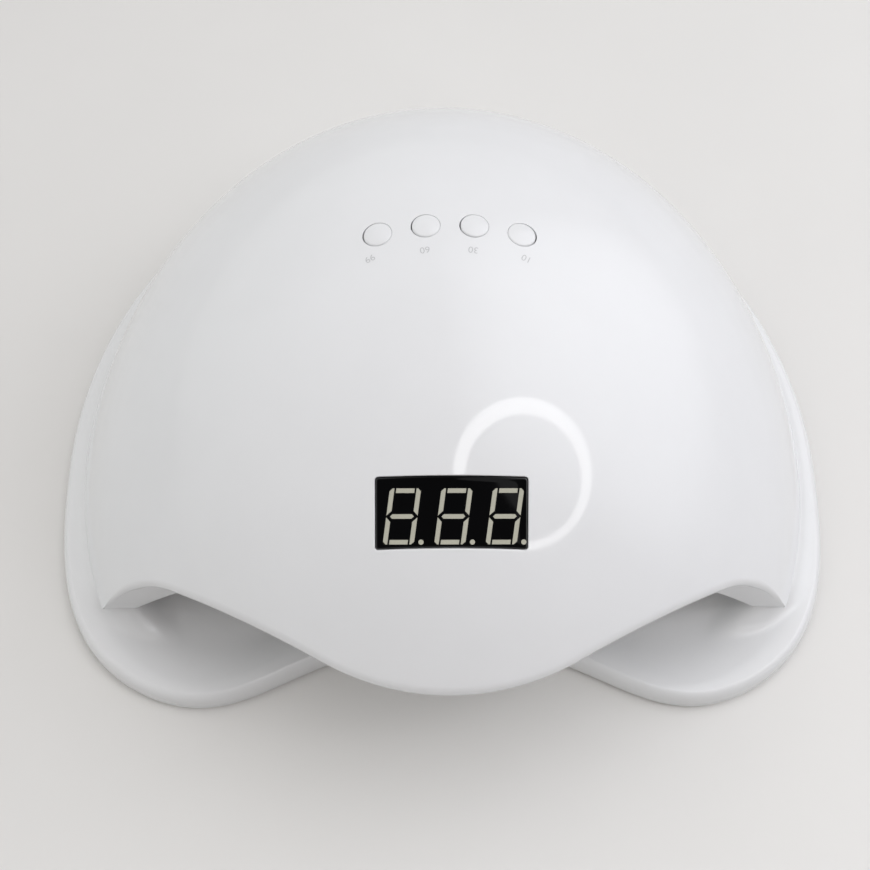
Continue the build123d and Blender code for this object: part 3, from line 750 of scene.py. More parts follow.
class Surface(Graph):
    """The shader graph of one material, with a Principled shader at its end."""

    def __init__(self, name: str) -> None:
        """Makes the material.

        Args:
            name: Its name.
        """
        self.material = bpy.data.materials.new(name)
        self.material.use_nodes = True
        super().__init__(self.material.node_tree)
        self.place = self.node("ShaderNodeTexCoord", {}, output="Object")

    def noise(self, size: float, detail: float, roughness: float = 0.55, source: Shade | None = None) -> Shade:
        """Adds cloudy noise from 0 to 1.

        Args:
            size: About how large its features are, in millimetres.
            detail: How many finer layers it has.
            roughness: How strong they are.
            source: Where it is read, the object's own points if none is given.

        Returns:
            The noise.
        """
        return self.node(
            "ShaderNodeTexNoise", {}, source or self.place, None, 1.0 / (size * MM), detail, roughness,
            output="Fac")

    def cells(self, size: float, feature: str = "F1") -> Shade:
        """Distances in Voronoi cells of about a size in millimetres."""
        return self.node(
            "ShaderNodeTexVoronoi", {"feature": feature}, self.place, None, 1.0 / (size * MM), output="Distance")

    def stored(self, name: str) -> Shade:
        """The number that a piece stores for each point under a name."""
        return self.node("ShaderNodeAttribute", {"attribute_name": name}, output="Fac")

    def blend(self, share: "Shade | float", first: "Shade | Colour", second: "Shade | Colour") -> Shade:
        """A mix of two colours, which are the Mix node's seventh and eighth sockets."""
        colours = (value if isinstance(value, Shade) else (*value, 1.0) for value in (first, second))
        return self.node("ShaderNodeMix", {"data_type": "RGBA"}, share, *[None] * 5, *colours, output=2)

    def relief(self, height: Shade, depth: float) -> Shade:
        """A bump normal whose full height is a depth in millimetres."""
        return self.node("ShaderNodeBump", {}, Distance=depth * MM, Height=height)

    def finish(self, **sockets: object) -> bpy.types.Material:
        """Feeds the shader's sockets.

        Args:
            sockets: Values or links by socket name, with _ for a space.

        Returns:
            The material.
        """
        for key, value in sockets.items():
            self.feed(self.tree.nodes["Principled BSDF"].inputs[key.replace("_", " ")], value)
        return self.material


# ---- Finishes ----
def tint(colour: Colour, factor: float) -> Colour:
    """A colour made lighter or darker."""
    return tuple(min(1.0, part * factor) for part in colour)


@dataclass(frozen=True)
class Look:
    """What every finish has: a name and a main colour."""

    name: str
    colour: Colour


@dataclass(frozen=True)
class GlossPlastic(Look):
    """Moulded gloss plastic: faint flow mottling, handling haze and a fine skin ripple."""

    roughness: float = 0.1
    haze: float = 0.07
    ripple: float = 0.0025

    def build(self) -> bpy.types.Material:
        """Builds the material.

        Returns:
            The material.
        """
        graph = Surface(self.name)
        flow = graph.noise(34.0, 4.0)
        grain = graph.noise(0.35, 2.0)
        colour = graph.blend(flow.step(0.3, 0.7), tint(self.colour, 0.985), tint(self.colour, 1.01))
        colour = graph.blend(grain.step(0.2, 0.8) * 0.3, colour, tint(self.colour, 0.98))
        haze = graph.noise(9.0, 5.0, 0.6).step(0.35, 0.75)
        ripple = graph.noise(2.6, 2.0, 0.4)
        return graph.finish(
            Base_Color=colour, Roughness=haze * self.haze + self.roughness,
            Normal=graph.relief(ripple, self.ripple))


@dataclass(frozen=True)
class MattPlastic(Look):
    """Spark-eroded moulded plastic: a fine even grain with slightly rubbed high spots."""

    roughness: float
    grain: float = 0.25
    depth: float = 0.02

    def build(self) -> bpy.types.Material:
        """Builds the material.

        Returns:
            The material.
        """
        graph = Surface(self.name)
        pits = graph.noise(self.grain, 3.0, 0.6)
        rub = graph.noise(7.0, 4.0)
        colour = graph.blend(rub.step(0.3, 0.8), self.colour, tint(self.colour, 1.35))
        colour = graph.blend(pits.step(0.35, 0.65) * 0.5, colour, tint(self.colour, 0.8))
        return graph.finish(
            Base_Color=colour, Roughness=self.roughness + (rub - 0.5) * 0.2,
            Normal=graph.relief(pits, self.depth))


@dataclass(frozen=True)
class SmokedFace(Look):
    """The display's smoked gloss face: near black, with a faint handling haze and a polished rim."""

    def build(self) -> bpy.types.Material:
        """Builds the material, with a clear coat where the piece stores its rim.

        Returns:
            The material.
        """
        graph = Surface(self.name)
        haze = graph.noise(5.0, 5.0, 0.65).step(0.45, 0.8)
        cloud = graph.noise(14.0, 2.0)
        wave = graph.noise(9.0, 1.0)
        return graph.finish(
            Base_Color=graph.blend(cloud, self.colour, tint(self.colour, 1.6)), Roughness=haze * 0.05 + 0.03,
            Normal=graph.relief(wave, 0.004), Coat_Weight=graph.stored("rim_share"), Coat_Roughness=0.04,
            Specular_IOR_Level=0.03)


@dataclass(frozen=True)
class UnlitResin(Look):
    """Unlit display bars: milky resin with a fine diffusing speckle, under the same gloss face."""

    def build(self) -> bpy.types.Material:
        """Builds the material.

        Returns:
            The material.
        """
        graph = Surface(self.name)
        speckle = graph.noise(0.22, 3.0, 0.7)
        cloud = graph.noise(3.5, 2.0)
        colour = graph.blend(speckle.step(0.3, 0.7), tint(self.colour, 0.9), tint(self.colour, 1.06))
        colour = graph.blend(cloud.step(0.3, 0.7) * 0.35, colour, tint(self.colour, 0.88))
        return graph.finish(Base_Color=colour, Roughness=0.45 + speckle * 0.1, Specular_IOR_Level=0.2)


@dataclass(frozen=True)
class PrintedInk(Look):
    """Pad-printed ink: a thin matt film with a slightly uneven tone."""

    def build(self) -> bpy.types.Material:
        """Builds the material.

        Returns:
            The material.
        """
        graph = Surface(self.name)
        tone = graph.noise(0.4, 4.0, 0.7)
        colour = graph.blend(tone.step(0.3, 0.75), self.colour, tint(self.colour, 1.14))
        return graph.finish(Base_Color=colour, Roughness=0.4 + tone * 0.15)


@dataclass(frozen=True)
class Rubber(Look):
    """Soft rubber: dark, dusty in patches, with a fine moulded grain."""

    dusty: Colour = (0.26, 0.25, 0.24)

    def build(self) -> bpy.types.Material:
        """Builds the material.

        Returns:
            The material.
        """
        graph = Surface(self.name)
        grain = graph.noise(0.5, 4.0, 0.65)
        dust = graph.noise(3.0, 5.0, 0.7).step(0.5, 0.8)
        return graph.finish(
            Base_Color=graph.blend(dust * 0.35, self.colour, self.dusty), Roughness=0.72 + dust * 0.15,
            Normal=graph.relief(grain, 0.05))


@dataclass(frozen=True)
class Metal(Look):
    """Plated or turned metal: streaks along one axis, dull spots and fine scratches."""

    roughness: float
    streak: float = 6.0

    def build(self) -> bpy.types.Material:
        """Builds the material.

        Returns:
            The material.
        """
        graph = Surface(self.name)
        stretched = graph.node("ShaderNodeMapping", {}, graph.place, Scale=(1.0, self.streak, 1.0))
        streaks = graph.noise(0.6, 3.0, 0.6, stretched)
        spots = graph.noise(1.8, 5.0, 0.7).step(0.5, 0.8)
        return graph.finish(
            Base_Color=graph.blend(spots * 0.5, self.colour, tint(self.colour, 0.7)), Metallic=1.0,
            Roughness=self.roughness + streaks * 0.14 + spots * 0.15, Normal=graph.relief(streaks, 0.006))


@dataclass(frozen=True)
class Laminate(Look):
    """Circuit board: solder mask over copper tracks, with bare pads."""

    solder: Colour = (0.62, 0.6, 0.55)

    def build(self) -> bpy.types.Material:
        """Builds the material.

        Returns:
            The material.
        """
        graph = Surface(self.name)
        tracks = graph.cells(4.2, "DISTANCE_TO_EDGE").step(0.04, 0.09)
        pads = 1.0 - graph.cells(2.6).step(0.16, 0.2)
        weave = graph.noise(0.5, 2.0)
        colour = graph.blend(tracks, tint(self.colour, 1.7), self.colour)
        return graph.finish(
            Base_Color=graph.blend(pads, colour, self.solder), Metallic=pads * 0.9,
            Roughness=0.32 + weave * 0.15, Normal=graph.relief(tracks * -1.0 + weave * 0.3, 0.03))


@dataclass(frozen=True)
class LensResin(Look):
    """A clear lens whose main colour is its die's: die and cup show through the middle of the dome."""

    cup: Colour
    rim: Colour

    def build(self) -> bpy.types.Material:
        """Builds the material, whose colours follow the share of the radius that the piece stores.

        Returns:
            The material.
        """
        graph = Surface(self.name)
        cloud = graph.noise(0.7, 2.0)
        stops = (
            (0.0, self.colour), (0.2, self.colour), (0.27, tint(self.cup, 0.5)), (0.36, self.cup),
            (0.7, self.rim), (1.0, tint(self.rim, 0.75)))
        share = graph.stored("radius_share") + (cloud - 0.5) * 0.03
        return graph.finish(
            Base_Color=graph.node("ShaderNodeValToRGB", {"stops": stops}, share),
            Roughness=0.18 + cloud * 0.1, Coat_Weight=1.0, Coat_Roughness=0.02)


@dataclass(frozen=True)
class TableTop(Look):
    """The pale table top: a faint warm mottling."""

    def build(self) -> bpy.types.Material:
        """Builds the material.

        Returns:
            The material.
        """
        graph = Surface(self.name)
        cloud = graph.noise(90.0, 3.0)
        colour = graph.blend(cloud.step(0.3, 0.7), tint(self.colour, 0.99), tint(self.colour, 1.01))
        return graph.finish(Base_Color=colour, Roughness=0.55 + cloud * 0.05)


class Finish(Enum):
    """The finishes of the lamp, by what wears them."""

    COVER = GlossPlastic("cover_gloss_white", (0.76, 0.765, 0.775), 0.055, 0.035)
    TRAY = GlossPlastic("tray_gloss_white", (0.74, 0.745, 0.75), 0.13)
    LINER = GlossPlastic("liner_gloss_white", (0.87, 0.87, 0.86), 0.16)
    CAP = GlossPlastic("button_gloss_white", (0.76, 0.765, 0.775), 0.14, 0.08, 0.004)
    DISPLAY_BODY = MattPlastic("display_body_black", (0.012, 0.012, 0.014), 0.42)
    DISPLAY_FACE = SmokedFace("display_face_smoked", (0.001, 0.001, 0.0013))
    BARS = UnlitResin("display_bars_unlit", (0.47, 0.46, 0.38))
    INK = PrintedInk("print_grey", (0.47, 0.47, 0.48))
    SWITCH = MattPlastic("switch_black", (0.02, 0.02, 0.02), 0.5)
    PLUNGER = MattPlastic("plunger_brown", (0.12, 0.05, 0.03), 0.4)
    INLET = MattPlastic("inlet_black", (0.018, 0.018, 0.02), 0.42)
    FOOT = Rubber("foot_rubber_black", (0.03, 0.03, 0.032))
    SCREW = Metal("screw_zinc", (0.62, 0.62, 0.6), 0.3)
    MAGNET = Metal("magnet_nickel", (0.7, 0.69, 0.66), 0.18)
    DISC = Metal("disc_zinc", (0.6, 0.6, 0.61), 0.34)
    PAD = Metal("pad_aluminium", (0.8, 0.8, 0.8), 0.35)
    CANS = Metal("can_aluminium", (0.66, 0.66, 0.68), 0.3)
    CONTACT = Metal("contact_nickel", (0.72, 0.66, 0.5), 0.22)
    BOARD = Laminate("board_green", (0.02, 0.13, 0.05))
    LED = LensResin("led_clear_lens", (0.12, 0.07, 0.2), (0.6, 0.58, 0.55), (0.62, 0.6, 0.7))
    SENSOR = LensResin("sensor_dark_lens", (0.03, 0.01, 0.02), (0.06, 0.02, 0.04), (0.03, 0.008, 0.02))
    TABLE = TableTop("table_pale_warm", (0.715, 0.706, 0.687))


class Wardrobe:
    """Makes each finish once, and dresses pieces in it."""

    def __init__(self) -> None:
        """Starts with nothing made."""
        self.made: dict[Finish, bpy.types.Material] = {}

    def dress(self, piece: bpy.types.Object, finish: Finish) -> None:
        """Gives a piece one finish all over.

        Args:
            piece: The piece.
            finish: What it wears.
        """
        if finish not in self.made:
            self.made[finish] = finish.value.build()
        piece.data.materials.clear()
        piece.data.materials.append(self.made[finish])


@dataclass
class Assembly:
    """What every sub-assembly shares: the finishes, the body it rides on, and a report of its pieces."""

    wardrobe: Wardrobe
    body: str = "head"

    def seat(
        self, piece: bpy.types.Object, finish: Finish, slot: str, nodes: Sequence[str] = (), body: str = "",
    ) -> None:
        """Dresses a piece, sets it on its body, and hides the nodes that it stands for.

        Args:
            piece: The finished piece, at the origin.
            finish: What it wears.
            slot: A material slot's name, which is not used.
            nodes: The nodes that it stands for.
            body: The body that it rides on, if not the assembly's own.
        """
        self.wardrobe.dress(piece, finish)
        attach(piece, body or self.body)
        if nodes:
            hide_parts(*nodes)
        LOG.info("%s on %s: %d faces", piece.name, body or self.body, len(piece.data.polygons))


# ---- Housing ----
@dataclass
class TopCover(Assembly):
    """The moulded cover: an ellipsoidal shell with a bell-shaped visor over a set-back fascia."""

    wall: float = 2.8
    fascia_wall: float = 2.6
    visor_edge: float = 1.5
    pillar_edge: float = 2.4
    foot_edge: float = 0.25
    arch_edge: float = 1.0
    throat_fillet: float = 3.0
    window: Window = Window(37.8, 18.1)
    window_rim: float = 0.35
    window_depth: float = 12.0
    button_radius: float = 3.85
    button_rim: float = 0.12
    button_depth: float = 8.0
    display_y: float = -68.1
    inlet_recess: Plan = (
        (0.0, -9.0), (5.6, -9.0), (5.6, -2.1), (5.7, -2.0), (7.7, -2.0), (8.0, -1.7), (8.0, 8.0), (0.0, 8.0))
    columns: tuple[int, ...] = (200, 12, 250, 12)

    @staticmethod
    def plan(bell: Bell, wall: float = 0.0, shift: float = 0.0) -> Callable[[Array], Array]:
        """The cover's edge in plan.

        Args:
            bell: The front line.
            wall: How far the edge lies inside the dome.
            shift: How far it lies behind the front line.

        Returns:
            Distance from the centre to the edge, as a function of the angles.
        """
        return partial(reach_out, lambda x, y: (DOME.level(x, y, -wall) > FOOT_Z) & (y > bell.line(x) + shift))

    def rings(self) -> Array:
        """The whole shell as rings about the centre.

        They go out over the dome, round the visor's lip, back along its underside, down the fascia, round
        the arch's edge, and up the inside to a pole.

        Returns:
            The rings as (ring, column, 3).
        """
        edge = self.plan(VISOR)
        right, inner = DOME.pillar_angle(), VAULT.pillar_angle()
        stops = (right, math.pi - right, math.pi - inner, 2 * math.pi + inner, 2 * math.pi + right)
        fan = Fan(even_angles(edge, stops, self.columns))
        at, vault, dome = fan.at, fan.vault, partial(fan.on, DOME)
        outer = edge(fan.angles)
        fascia = np.minimum(self.plan(FASCIA)(fan.angles), outer)
        inside = np.minimum(self.plan(FASCIA, self.wall, self.fascia_wall)(fan.angles), fascia - 0.5)

        # 0 at the corner where pillar meets foot, and all along the back; 1 a little way along the front
        x, y = fan.plan(outer)
        corner_x = (PILLAR_FACE_Y - CENTRE_Y) / math.tan(right)
        front = smooth(corner_x - np.abs(x), 0.0, 5.0) * (y < PILLAR_FACE_Y + 0.01)
        overhang = outer - fascia
        hood = smooth(overhang, 0.0, 3.0)

        def run(start: Array, end: Array, height: Callable[[Array], Array], shares: Iterable[float]) -> None:
            """Adds rings between two distances, each at its own height there."""
            radii = (start + (end - start) * share for share in shares)
            rings.extend(at(radius, height(radius)) for radius in radii)

        def climb(radius: Array, start: Array, end: Array, shares: Iterable[float]) -> None:
            """Adds rings between two heights at one distance."""
            rings.extend(at(radius, start + (end - start) * share) for share in shares)

        def bend(start: tuple[Array, Array], turn: tuple[Array, Array], end: tuple[Array, Array], steps: int) -> None:
            """Adds rings along the quadratic curve that leaves start for turn and reaches end from it.

            Args:
                start: Distance and height where it starts.
                turn: Distance and height of its corner.
                end: Distance and height where it ends.
                steps: How many rings it takes.
            """
            for share in np.linspace(0.0, 1.0, steps + 1)[1:]:
                weights = ((1 - share) ** 2, 2 * share * (1 - share), share ** 2)
                rings.append(at(*(sum(w * p[i] for w, p in zip(weights, (start, turn, end))) for i in (0, 1))))

        # Out over the dome
        rings: list[Array] = []
        lip = self.foot_edge + front * (hood * self.visor_edge + (1 - hood) * self.pillar_edge - self.foot_edge)
        last = outer - lip
        run(0.0 * last, last, dome, np.linspace(0.0, 1.0, 84))

        # Round the lip, whose nose is half way through the wall on the visor
        slope = (dome(last) - dome(last - 0.02)) / 0.02
        under = dome(outer, -self.wall)
        nose = dome(outer) - front * (hood * (dome(outer) - under) / 2 + (1 - hood) * self.pillar_edge)
        nose = np.maximum(nose, FOOT_Z)
        bend((last, dome(last)), (outer, np.maximum(dome(last) + slope * lip, nose)), (outer, nose), 8)

        def roof(radius: Array) -> Array:
            """Height of the visor's underside, level with the nose where there is no visor."""
            return nose + hood * (dome(radius, -self.wall) - nose)

        # Back along the underside of the visor
        back = outer - np.minimum(lip, 0.4 * overhang)
        bend((outer, nose), (outer, roof(back)), (back, roof(back)), 6)
        fillet = self.throat_fillet * smooth(overhang, 0.0, 12.0)
        near, top = fascia + fillet, roof(fascia)
        run(back, near, roof, np.linspace(0.0, 1.0, 9)[1:])
        bend((near, roof(near)), (fascia, top), (fascia, top - fillet), 5)

        # Down the fascia and round the edge of the arch
        sill = vault(fascia)
        round_off = np.minimum(self.arch_edge * front, 0.3 * np.maximum(top - fillet - sill, 0.0))
        climb(fascia, top - fillet, sill + round_off, np.linspace(0.0, 1.0, 13)[1:])
        foot = fascia - np.minimum(round_off, 0.4 * (fascia - inside))
        bend((fascia, sill + round_off), (fascia, sill), (foot, vault(foot)), 4)
        run(foot, inside, vault, (0.5, 1.0))

        # Up the inside to the pole under the crown
        ceiling = np.maximum(dome(inside, -self.wall), vault(inside) + 0.05)
        climb(inside, vault(inside), ceiling, (0.3, 1.0))
        for share in np.linspace(1.0, 0.0, 14)[1:]:
            radius = inside * share
            rings.append(at(radius, np.maximum(dome(radius, -self.wall), ceiling * (share > 0.9))))
        return np.stack(rings)

    def display_place(self) -> Placement:
        """The middle of the display window on the dome."""
        point = DOME.lift(0.0, self.display_y)
        return Placement.square_to_x(point, DOME.normal(point))

    def build(self, buttons: Sequence[Placement]) -> None:
        """Makes the cover and cuts its window, button holes and inlet recess.

        Args:
            buttons: The middle of each button hole.
        """
        shell = skins("cover_shell", [self.rings()], flip=True)
        hole = round_hole(self.button_radius, 72)
        carve(shell, [
            rim_tool(DOME, self.display_place(), self.window.outline, self.window_depth, self.window_rim),
            *(rim_tool(DOME, place, hole, self.button_depth, self.button_rim) for place in buttons),
            skin(turned(np.array(self.inlet_recess), PowerInlet.place(0.0), 64)),
        ])
        edge_sharp(shell)
        follow_surface(shell, DOME, 1.0)
        self.seat(shell, Finish.COVER, "cover_plastic", ["top_cover"])


@dataclass
class CavityLiner(Assembly):
    """The bright vault of the hand cavity, with a hole for each LED and a foot flange behind it."""

    wall: float = 2.0
    flange: float = 3.0
    heel: float = 1.2
    cover_wall: float = 2.9
    fascia_back: float = 2.65
    hole_rim: float = 0.2
    hole_depth: float = 4.0
    hole_sides: int = 28
    led_hole: float = 2.95
    sensor_hole: float = 2.55
    led_radius: float = 2.8
    sensor_radius: float = 2.4
    columns: tuple[int, int] = (170, 130)

    def leds(self) -> dict[str, list[Array]]:
        """Places the LEDs on the vault.

        Returns:
            Where each group's LEDs sit.
        """
        side, back = (
            [VAULT.around(angle, z) for z in (24.0, 42.0) for angle in angles]
            for angles in ((-14.0, 2.0, 18.0, 34.0), (50.0, 76.0, 104.0, 130.0)))
        columns, rows = np.meshgrid((-39.0, -13.0, 13.0, 39.0), (-58.0, -34.0, -10.0), indexing="ij")
        return {
            "right": side,
            "left": [point * MIRROR for point in side],
            "back": back,
            "top": list(VAULT.lift(columns.ravel(), rows.ravel())),
        }

    def sensors(self) -> dict[str, Array]:
        """Where the two hand sensors sit."""
        right = VAULT.around(-19.0, 27.0)
        return {"receiver": right, "emitter": right * MIRROR}

    def rings(self) -> Array:
        """The liner as rings about the centre.

        They go out along the vault, across the foot flange, and back over its outside to a pole.

        Returns:
            The rings as (ring, column, 3).
        """
        def plan(form: Ellipsoid, wall: float, angles: Array) -> Array:
            """Distance to where a form, less a wall, meets the foot or the line behind the fascia."""
            return reach_out(
                lambda x, y: (form.level(x, y, -wall) > FOOT_Z) & (y > FASCIA.line(x) + self.fascia_back), angles)

        fan = Fan(even_angles(partial(plan, VAULT, 0.0), (-0.6, math.pi + 0.6, 2 * math.pi - 0.6), self.columns))
        edge = plan(VAULT, 0.0, fan.angles)
        flange = np.maximum(edge + 0.02, plan(DOME, self.cover_wall, fan.angles))
        rings = [fan.at(edge * share, fan.vault(edge * share)) for share in np.linspace(0.0, 1.0, 60)]
        low = fan.vault(edge)
        wide = smooth(flange - edge, 0.5, 2.0)
        top = wide * (FOOT_Z + self.flange) + (1 - wide) * np.maximum(fan.on(VAULT, edge, self.wall), low + 0.5)
        heel = edge + wide * np.minimum(flange - edge, self.heel)
        rings += [fan.at(flange, low), fan.at(flange, top), fan.at(heel, top)]
        for share in np.linspace(1.0, 0.0, 14)[1:]:
            rings.append(fan.at(heel * share, fan.on(VAULT, heel * share, self.wall)))
        return np.stack(rings)

    def build(self) -> None:
        """Makes the liner with its holes, then the lenses in them."""
        liner = skins("cavity_liner", [self.rings()])
        leds, sensors = self.leds(), self.sensors()
        holes = [(point, self.led_hole) for points in leds.values() for point in points]
        holes += [(point, self.sensor_hole) for point in sensors.values()]
        carve(liner, [
            rim_tool(
                VAULT, Placement.facing(point, -VAULT.normal(point)), round_hole(radius, self.hole_sides),
                self.hole_depth, self.hole_rim, -1.0)
            for point, radius in holes])
        edge_sharp(liner)
        follow_surface(liner, VAULT, -1.0)
        self.seat(liner, Finish.LINER, "liner_plastic", ["inner_liner"])
        for group, points in leds.items():
            lenses = self.lenses(f"led_lenses_{group}", points, self.led_radius)
            self.seat(lenses, Finish.LED, "led_resin", [f"leds_{group}"])
        for name, point in sensors.items():
            lens = self.lenses(f"sensor_lens_{name}", [point], self.sensor_radius)
            self.seat(lens, Finish.SENSOR, "sensor_resin", [f"hand_sensor_{name}"])

    def lenses(self, name: str, points: Sequence[Array], radius: float) -> bpy.types.Object:
        """Round-nosed lenses square to the vault, each a turned dome on a flange.

        Args:
            name: The piece's name.
            points: Where they sit.
            radius: Their radius.

        Returns:
            The piece, with each point's share of the radius as an attribute.
        """
        nose, seat, flange = 1.4, self.wall + 0.05, self.wall + 0.95
        turn = np.radians(np.linspace(0.0, 90.0, 12))
        dome = np.stack([radius * np.sin(turn), -nose + radius * (1 - np.cos(turn))], axis=-1)
        rest = [(radius, seat), (radius + 0.6, seat), (radius + 0.7, seat + 0.1), (radius + 0.7, flange), (0.0, flange)]
        profile = np.concatenate([dome, rest])
        sides = self.hole_sides
        piece = skins(
            name, [turned(profile, Placement.facing(p, VAULT.normal(p)), sides) for p in points], flip=True)
        share = np.minimum(np.repeat(profile[1:-1, 0], sides) / radius, 1.0)
        paint(piece, "radius_share", np.tile(np.concatenate([[0.0, 0.0], share]), len(points)))
        edge_sharp(piece)
        return piece


# ---- Buttons and their figures ----
@dataclass
class ButtonRow(Assembly):
    """Four round caps in a shallow arc, each on its own body, with a printed figure in front."""

    places: Plan = ((-18.8, 4.05), (-6.3, 5.75), (6.3, 5.75), (18.8, 4.05))
    play: tuple[float, ...] = (0.14, 0.14, 0.14, -0.14)
    radius: float = 3.68
    crown_height: float = 0.55
    crown_radius: float = 14.0
    edge_round: float = 0.35
    skirt_z: float = -4.2
    flange_and_stem: Plan = ((4.9, -4.3), (4.9, -5.2), (1.6, -5.3), (1.6, -8.0), (0.0, -8.0))
    sides: int = 64
    figure_places: Plan = ((-20.6, -3.4), (-6.5, -2.0), (5.9, -2.0), (19.6, -3.5))
    figure_height: float = 1.95
    figure_share: float = 0.72
    figure_thinning: float = -0.012
    figure_tilt: float = -1.2
    ink_film: float = 0.03

    def placements(self) -> list[Placement]:
        """The middle of each hole, all with the axis that the buttons move along."""
        axis = DOME.normal(DOME.lift(0.0, self.places[1][1]))
        return [Placement.square_to_x(DOME.lift(x, y), axis) for x, y in self.places]

    def cap_rings(self, place: Placement, play: float) -> Array:
        """A cap as rings about its axis: a ball's crown, a rounded edge, a skirt, a flange and a stem.

        The crown's height at each point is where a line along the axis leaves the ball.

        Args:
            place: The middle of its hole.
            play: How far it sits off the middle, across.

        Returns:
            The rings as (ring, column, 3).
        """
        place = replace(place, origin=place.origin + place.across * play)
        centre = DOME.normal(place.origin) * (self.crown_height - self.crown_radius)
        across, along, up = np.stack([place.across, place.along, place.axis]) @ centre
        edge = circle(self.sides)

        def crown(radius: float) -> Array:
            """Height of the crown all round at a distance from the axis."""
            return up + np.sqrt(self.crown_radius ** 2 - np.sum((radius * edge - (across, along)) ** 2, axis=-1))

        flat = self.radius - self.edge_round
        rings = [raised(flat * share * edge, crown(flat * share)) for share in np.linspace(0.0, 1.0, 14)]
        for bend in np.radians(np.linspace(0.0, 90.0, 7))[1:]:
            radius = flat + self.edge_round * math.sin(bend)
            rings.append(raised(radius * edge, crown(radius) - self.edge_round * (1 - math.cos(bend))))
        rings += [raised(radius * edge, z) for radius, z in ((self.radius, self.skirt_z), *self.flange_and_stem)]
        return place.place(np.stack(rings))

    def figure(self, number: str, x: float, y: float) -> bpy.types.Object:
        """A printed number, read from the back of the lamp, that lies on the dome.

        Args:
            number: The figure.
            x: X of its middle.
            y: Y of its middle.

        Returns:
            The number as a thin mesh.
        """
        text = bpy.data.curves.new(f"print_{number}", "FONT")
        text.body = number
        text.size = self.figure_height / self.figure_share
        text.align_x = text.align_y = "CENTER"
        text.resolution_u = 8
        text.offset = self.figure_thinning
        holder = add(text.name, text)
        mesh = evaluated(holder)
        bpy.data.objects.remove(holder)
        tilt = math.radians(self.figure_tilt * x)
        turn = np.array([(math.cos(tilt), math.sin(tilt)), (-math.sin(tilt), math.cos(tilt))])
        printed = DOME.lift(*((x, y) - coordinates(mesh)[:, :2] @ turn).T)
        faces = [list(face.vertices) for face in mesh.polygons]
        return make_object(f"print_{number}", printed + DOME.normal(printed) * self.ink_film, faces)

    def build(self) -> None:
        """Makes the caps and the printed figures."""
        rows = zip(BUTTON_NUMBERS, self.placements(), self.play, self.figure_places)
        for number, place, play, (x, y) in rows:
            cap = skins(f"cap_{number}", [self.cap_rings(place, play)], flip=True)
            edge_sharp(cap, 50.0)
            self.seat(cap, Finish.CAP, "button_plastic", [f"button_{number}"], f"key_{number}")
            self.seat(self.figure(number, x, y), Finish.INK, "cover_plastic")


# ---- Display ----
@dataclass
class Display(Assembly):
    """Three slanted figures of seven bars and a point each, under a smoked gloss face."""

    face: Window = Window(37.5, 17.8)
    sink: float = 1.6
    film: float = 0.5
    rim: tuple[tuple[float, float], ...] = ((-0.42, 0.0), (-0.22, 0.05), (-0.07, 0.17), (0.0, 0.36))
    pitch: float = 12.7
    middle: tuple[float, float] = (0.42, -0.64)
    digit_width: float = 7.7
    digit_height: float = 13.9
    slant: float = 7.5
    bar: float = 1.13
    gap: float = 0.45
    bevel: float = 0.7
    bar_top: float = 0.02
    bar_low: float = 0.05
    point_radius: float = 0.65
    point_offset: float = 1.7

    def bars(self) -> list[Array]:
        """Corners of an upright figure's seven bars: one pointed, two square, and four cut at an angle.

        Returns:
            The corners of each bar, anticlockwise.
        """
        outer, top = self.digit_width / 2, self.digit_height / 2
        inner, low, half = outer - self.bar, top - self.bar, self.bar / 2
        cut, tip, end = self.gap / 2, inner + self.gap / 2, inner - self.gap
        shoulder = tip - half
        pointed = [(-tip, 0), (-shoulder, -half), (shoulder, -half), (tip, 0), (shoulder, half), (-shoulder, half)]
        square = np.array([(-end, low), (end, low), (end, top), (-end, top)])
        upright = np.array([
            (outer, cut), (outer, top - self.bevel), (outer - self.bevel, top), (inner, top), (inner, cut + self.bar)])
        shapes = [np.array(pointed)]
        for row in (1, -1):
            shapes.append((square * (1, row))[::row])
            shapes += [(upright * (side, row))[::side * row] for side in (1, -1)]
        return shapes

    def outlines(self) -> list[Array]:
        """The outline of every bar and point: x gains y times the slant's tangent.

        Returns:
            The corners of each outline, in the face's plane.
        """
        lean = math.tan(math.radians(self.slant))
        base = (self.bar - self.digit_height) / 2
        point = self.point_radius * circle(28) + (self.digit_width / 2 + lean * base + self.point_offset, base)
        digit = [bar + bar[:, 1:] * (lean, 0.0) for bar in self.bars()] + [point]
        x, y = self.middle
        return [shape + (x + place * self.pitch, y) for place in (-1, 0, 1) for shape in digit]

    def build(self, place: Placement) -> None:
        """Makes the face and the bars.

        Args:
            place: The middle of the display window on the dome.
        """
        flat = self.face.outline(0.0)
        rings = [raised(flat * share, 0.0) for share in (0.0, 0.85)]
        rings += [raised(self.face.outline(grow), -drop) for grow, drop in self.rim]
        rings += [raised(flat * share, -self.film) for share in (1.0, 0.0)]
        face = skins("display_face", [place.place(np.stack(rings) - (0.0, 0.0, self.sink))], flip=True)
        edge_sharp(face)
        polished = np.repeat([0.0, 0.0, 1.0, 1.0, 1.0, 0.0], len(flat))
        paint(face, "rim_share", np.concatenate([[0.0, 0.0], polished]))
        self.seat(face, Finish.DISPLAY_FACE, "display_film", ["display_film"])

        top, low = -self.sink + self.bar_top, -self.sink - self.bar_low
        points, faces = merge(prism(shape, top, low) for shape in self.outlines())
        bars = make_object("display_bars", place.place(points), faces)
        edge_sharp(bars)
        self.seat(bars, Finish.BARS, "segment_resin", ["display_segments"])


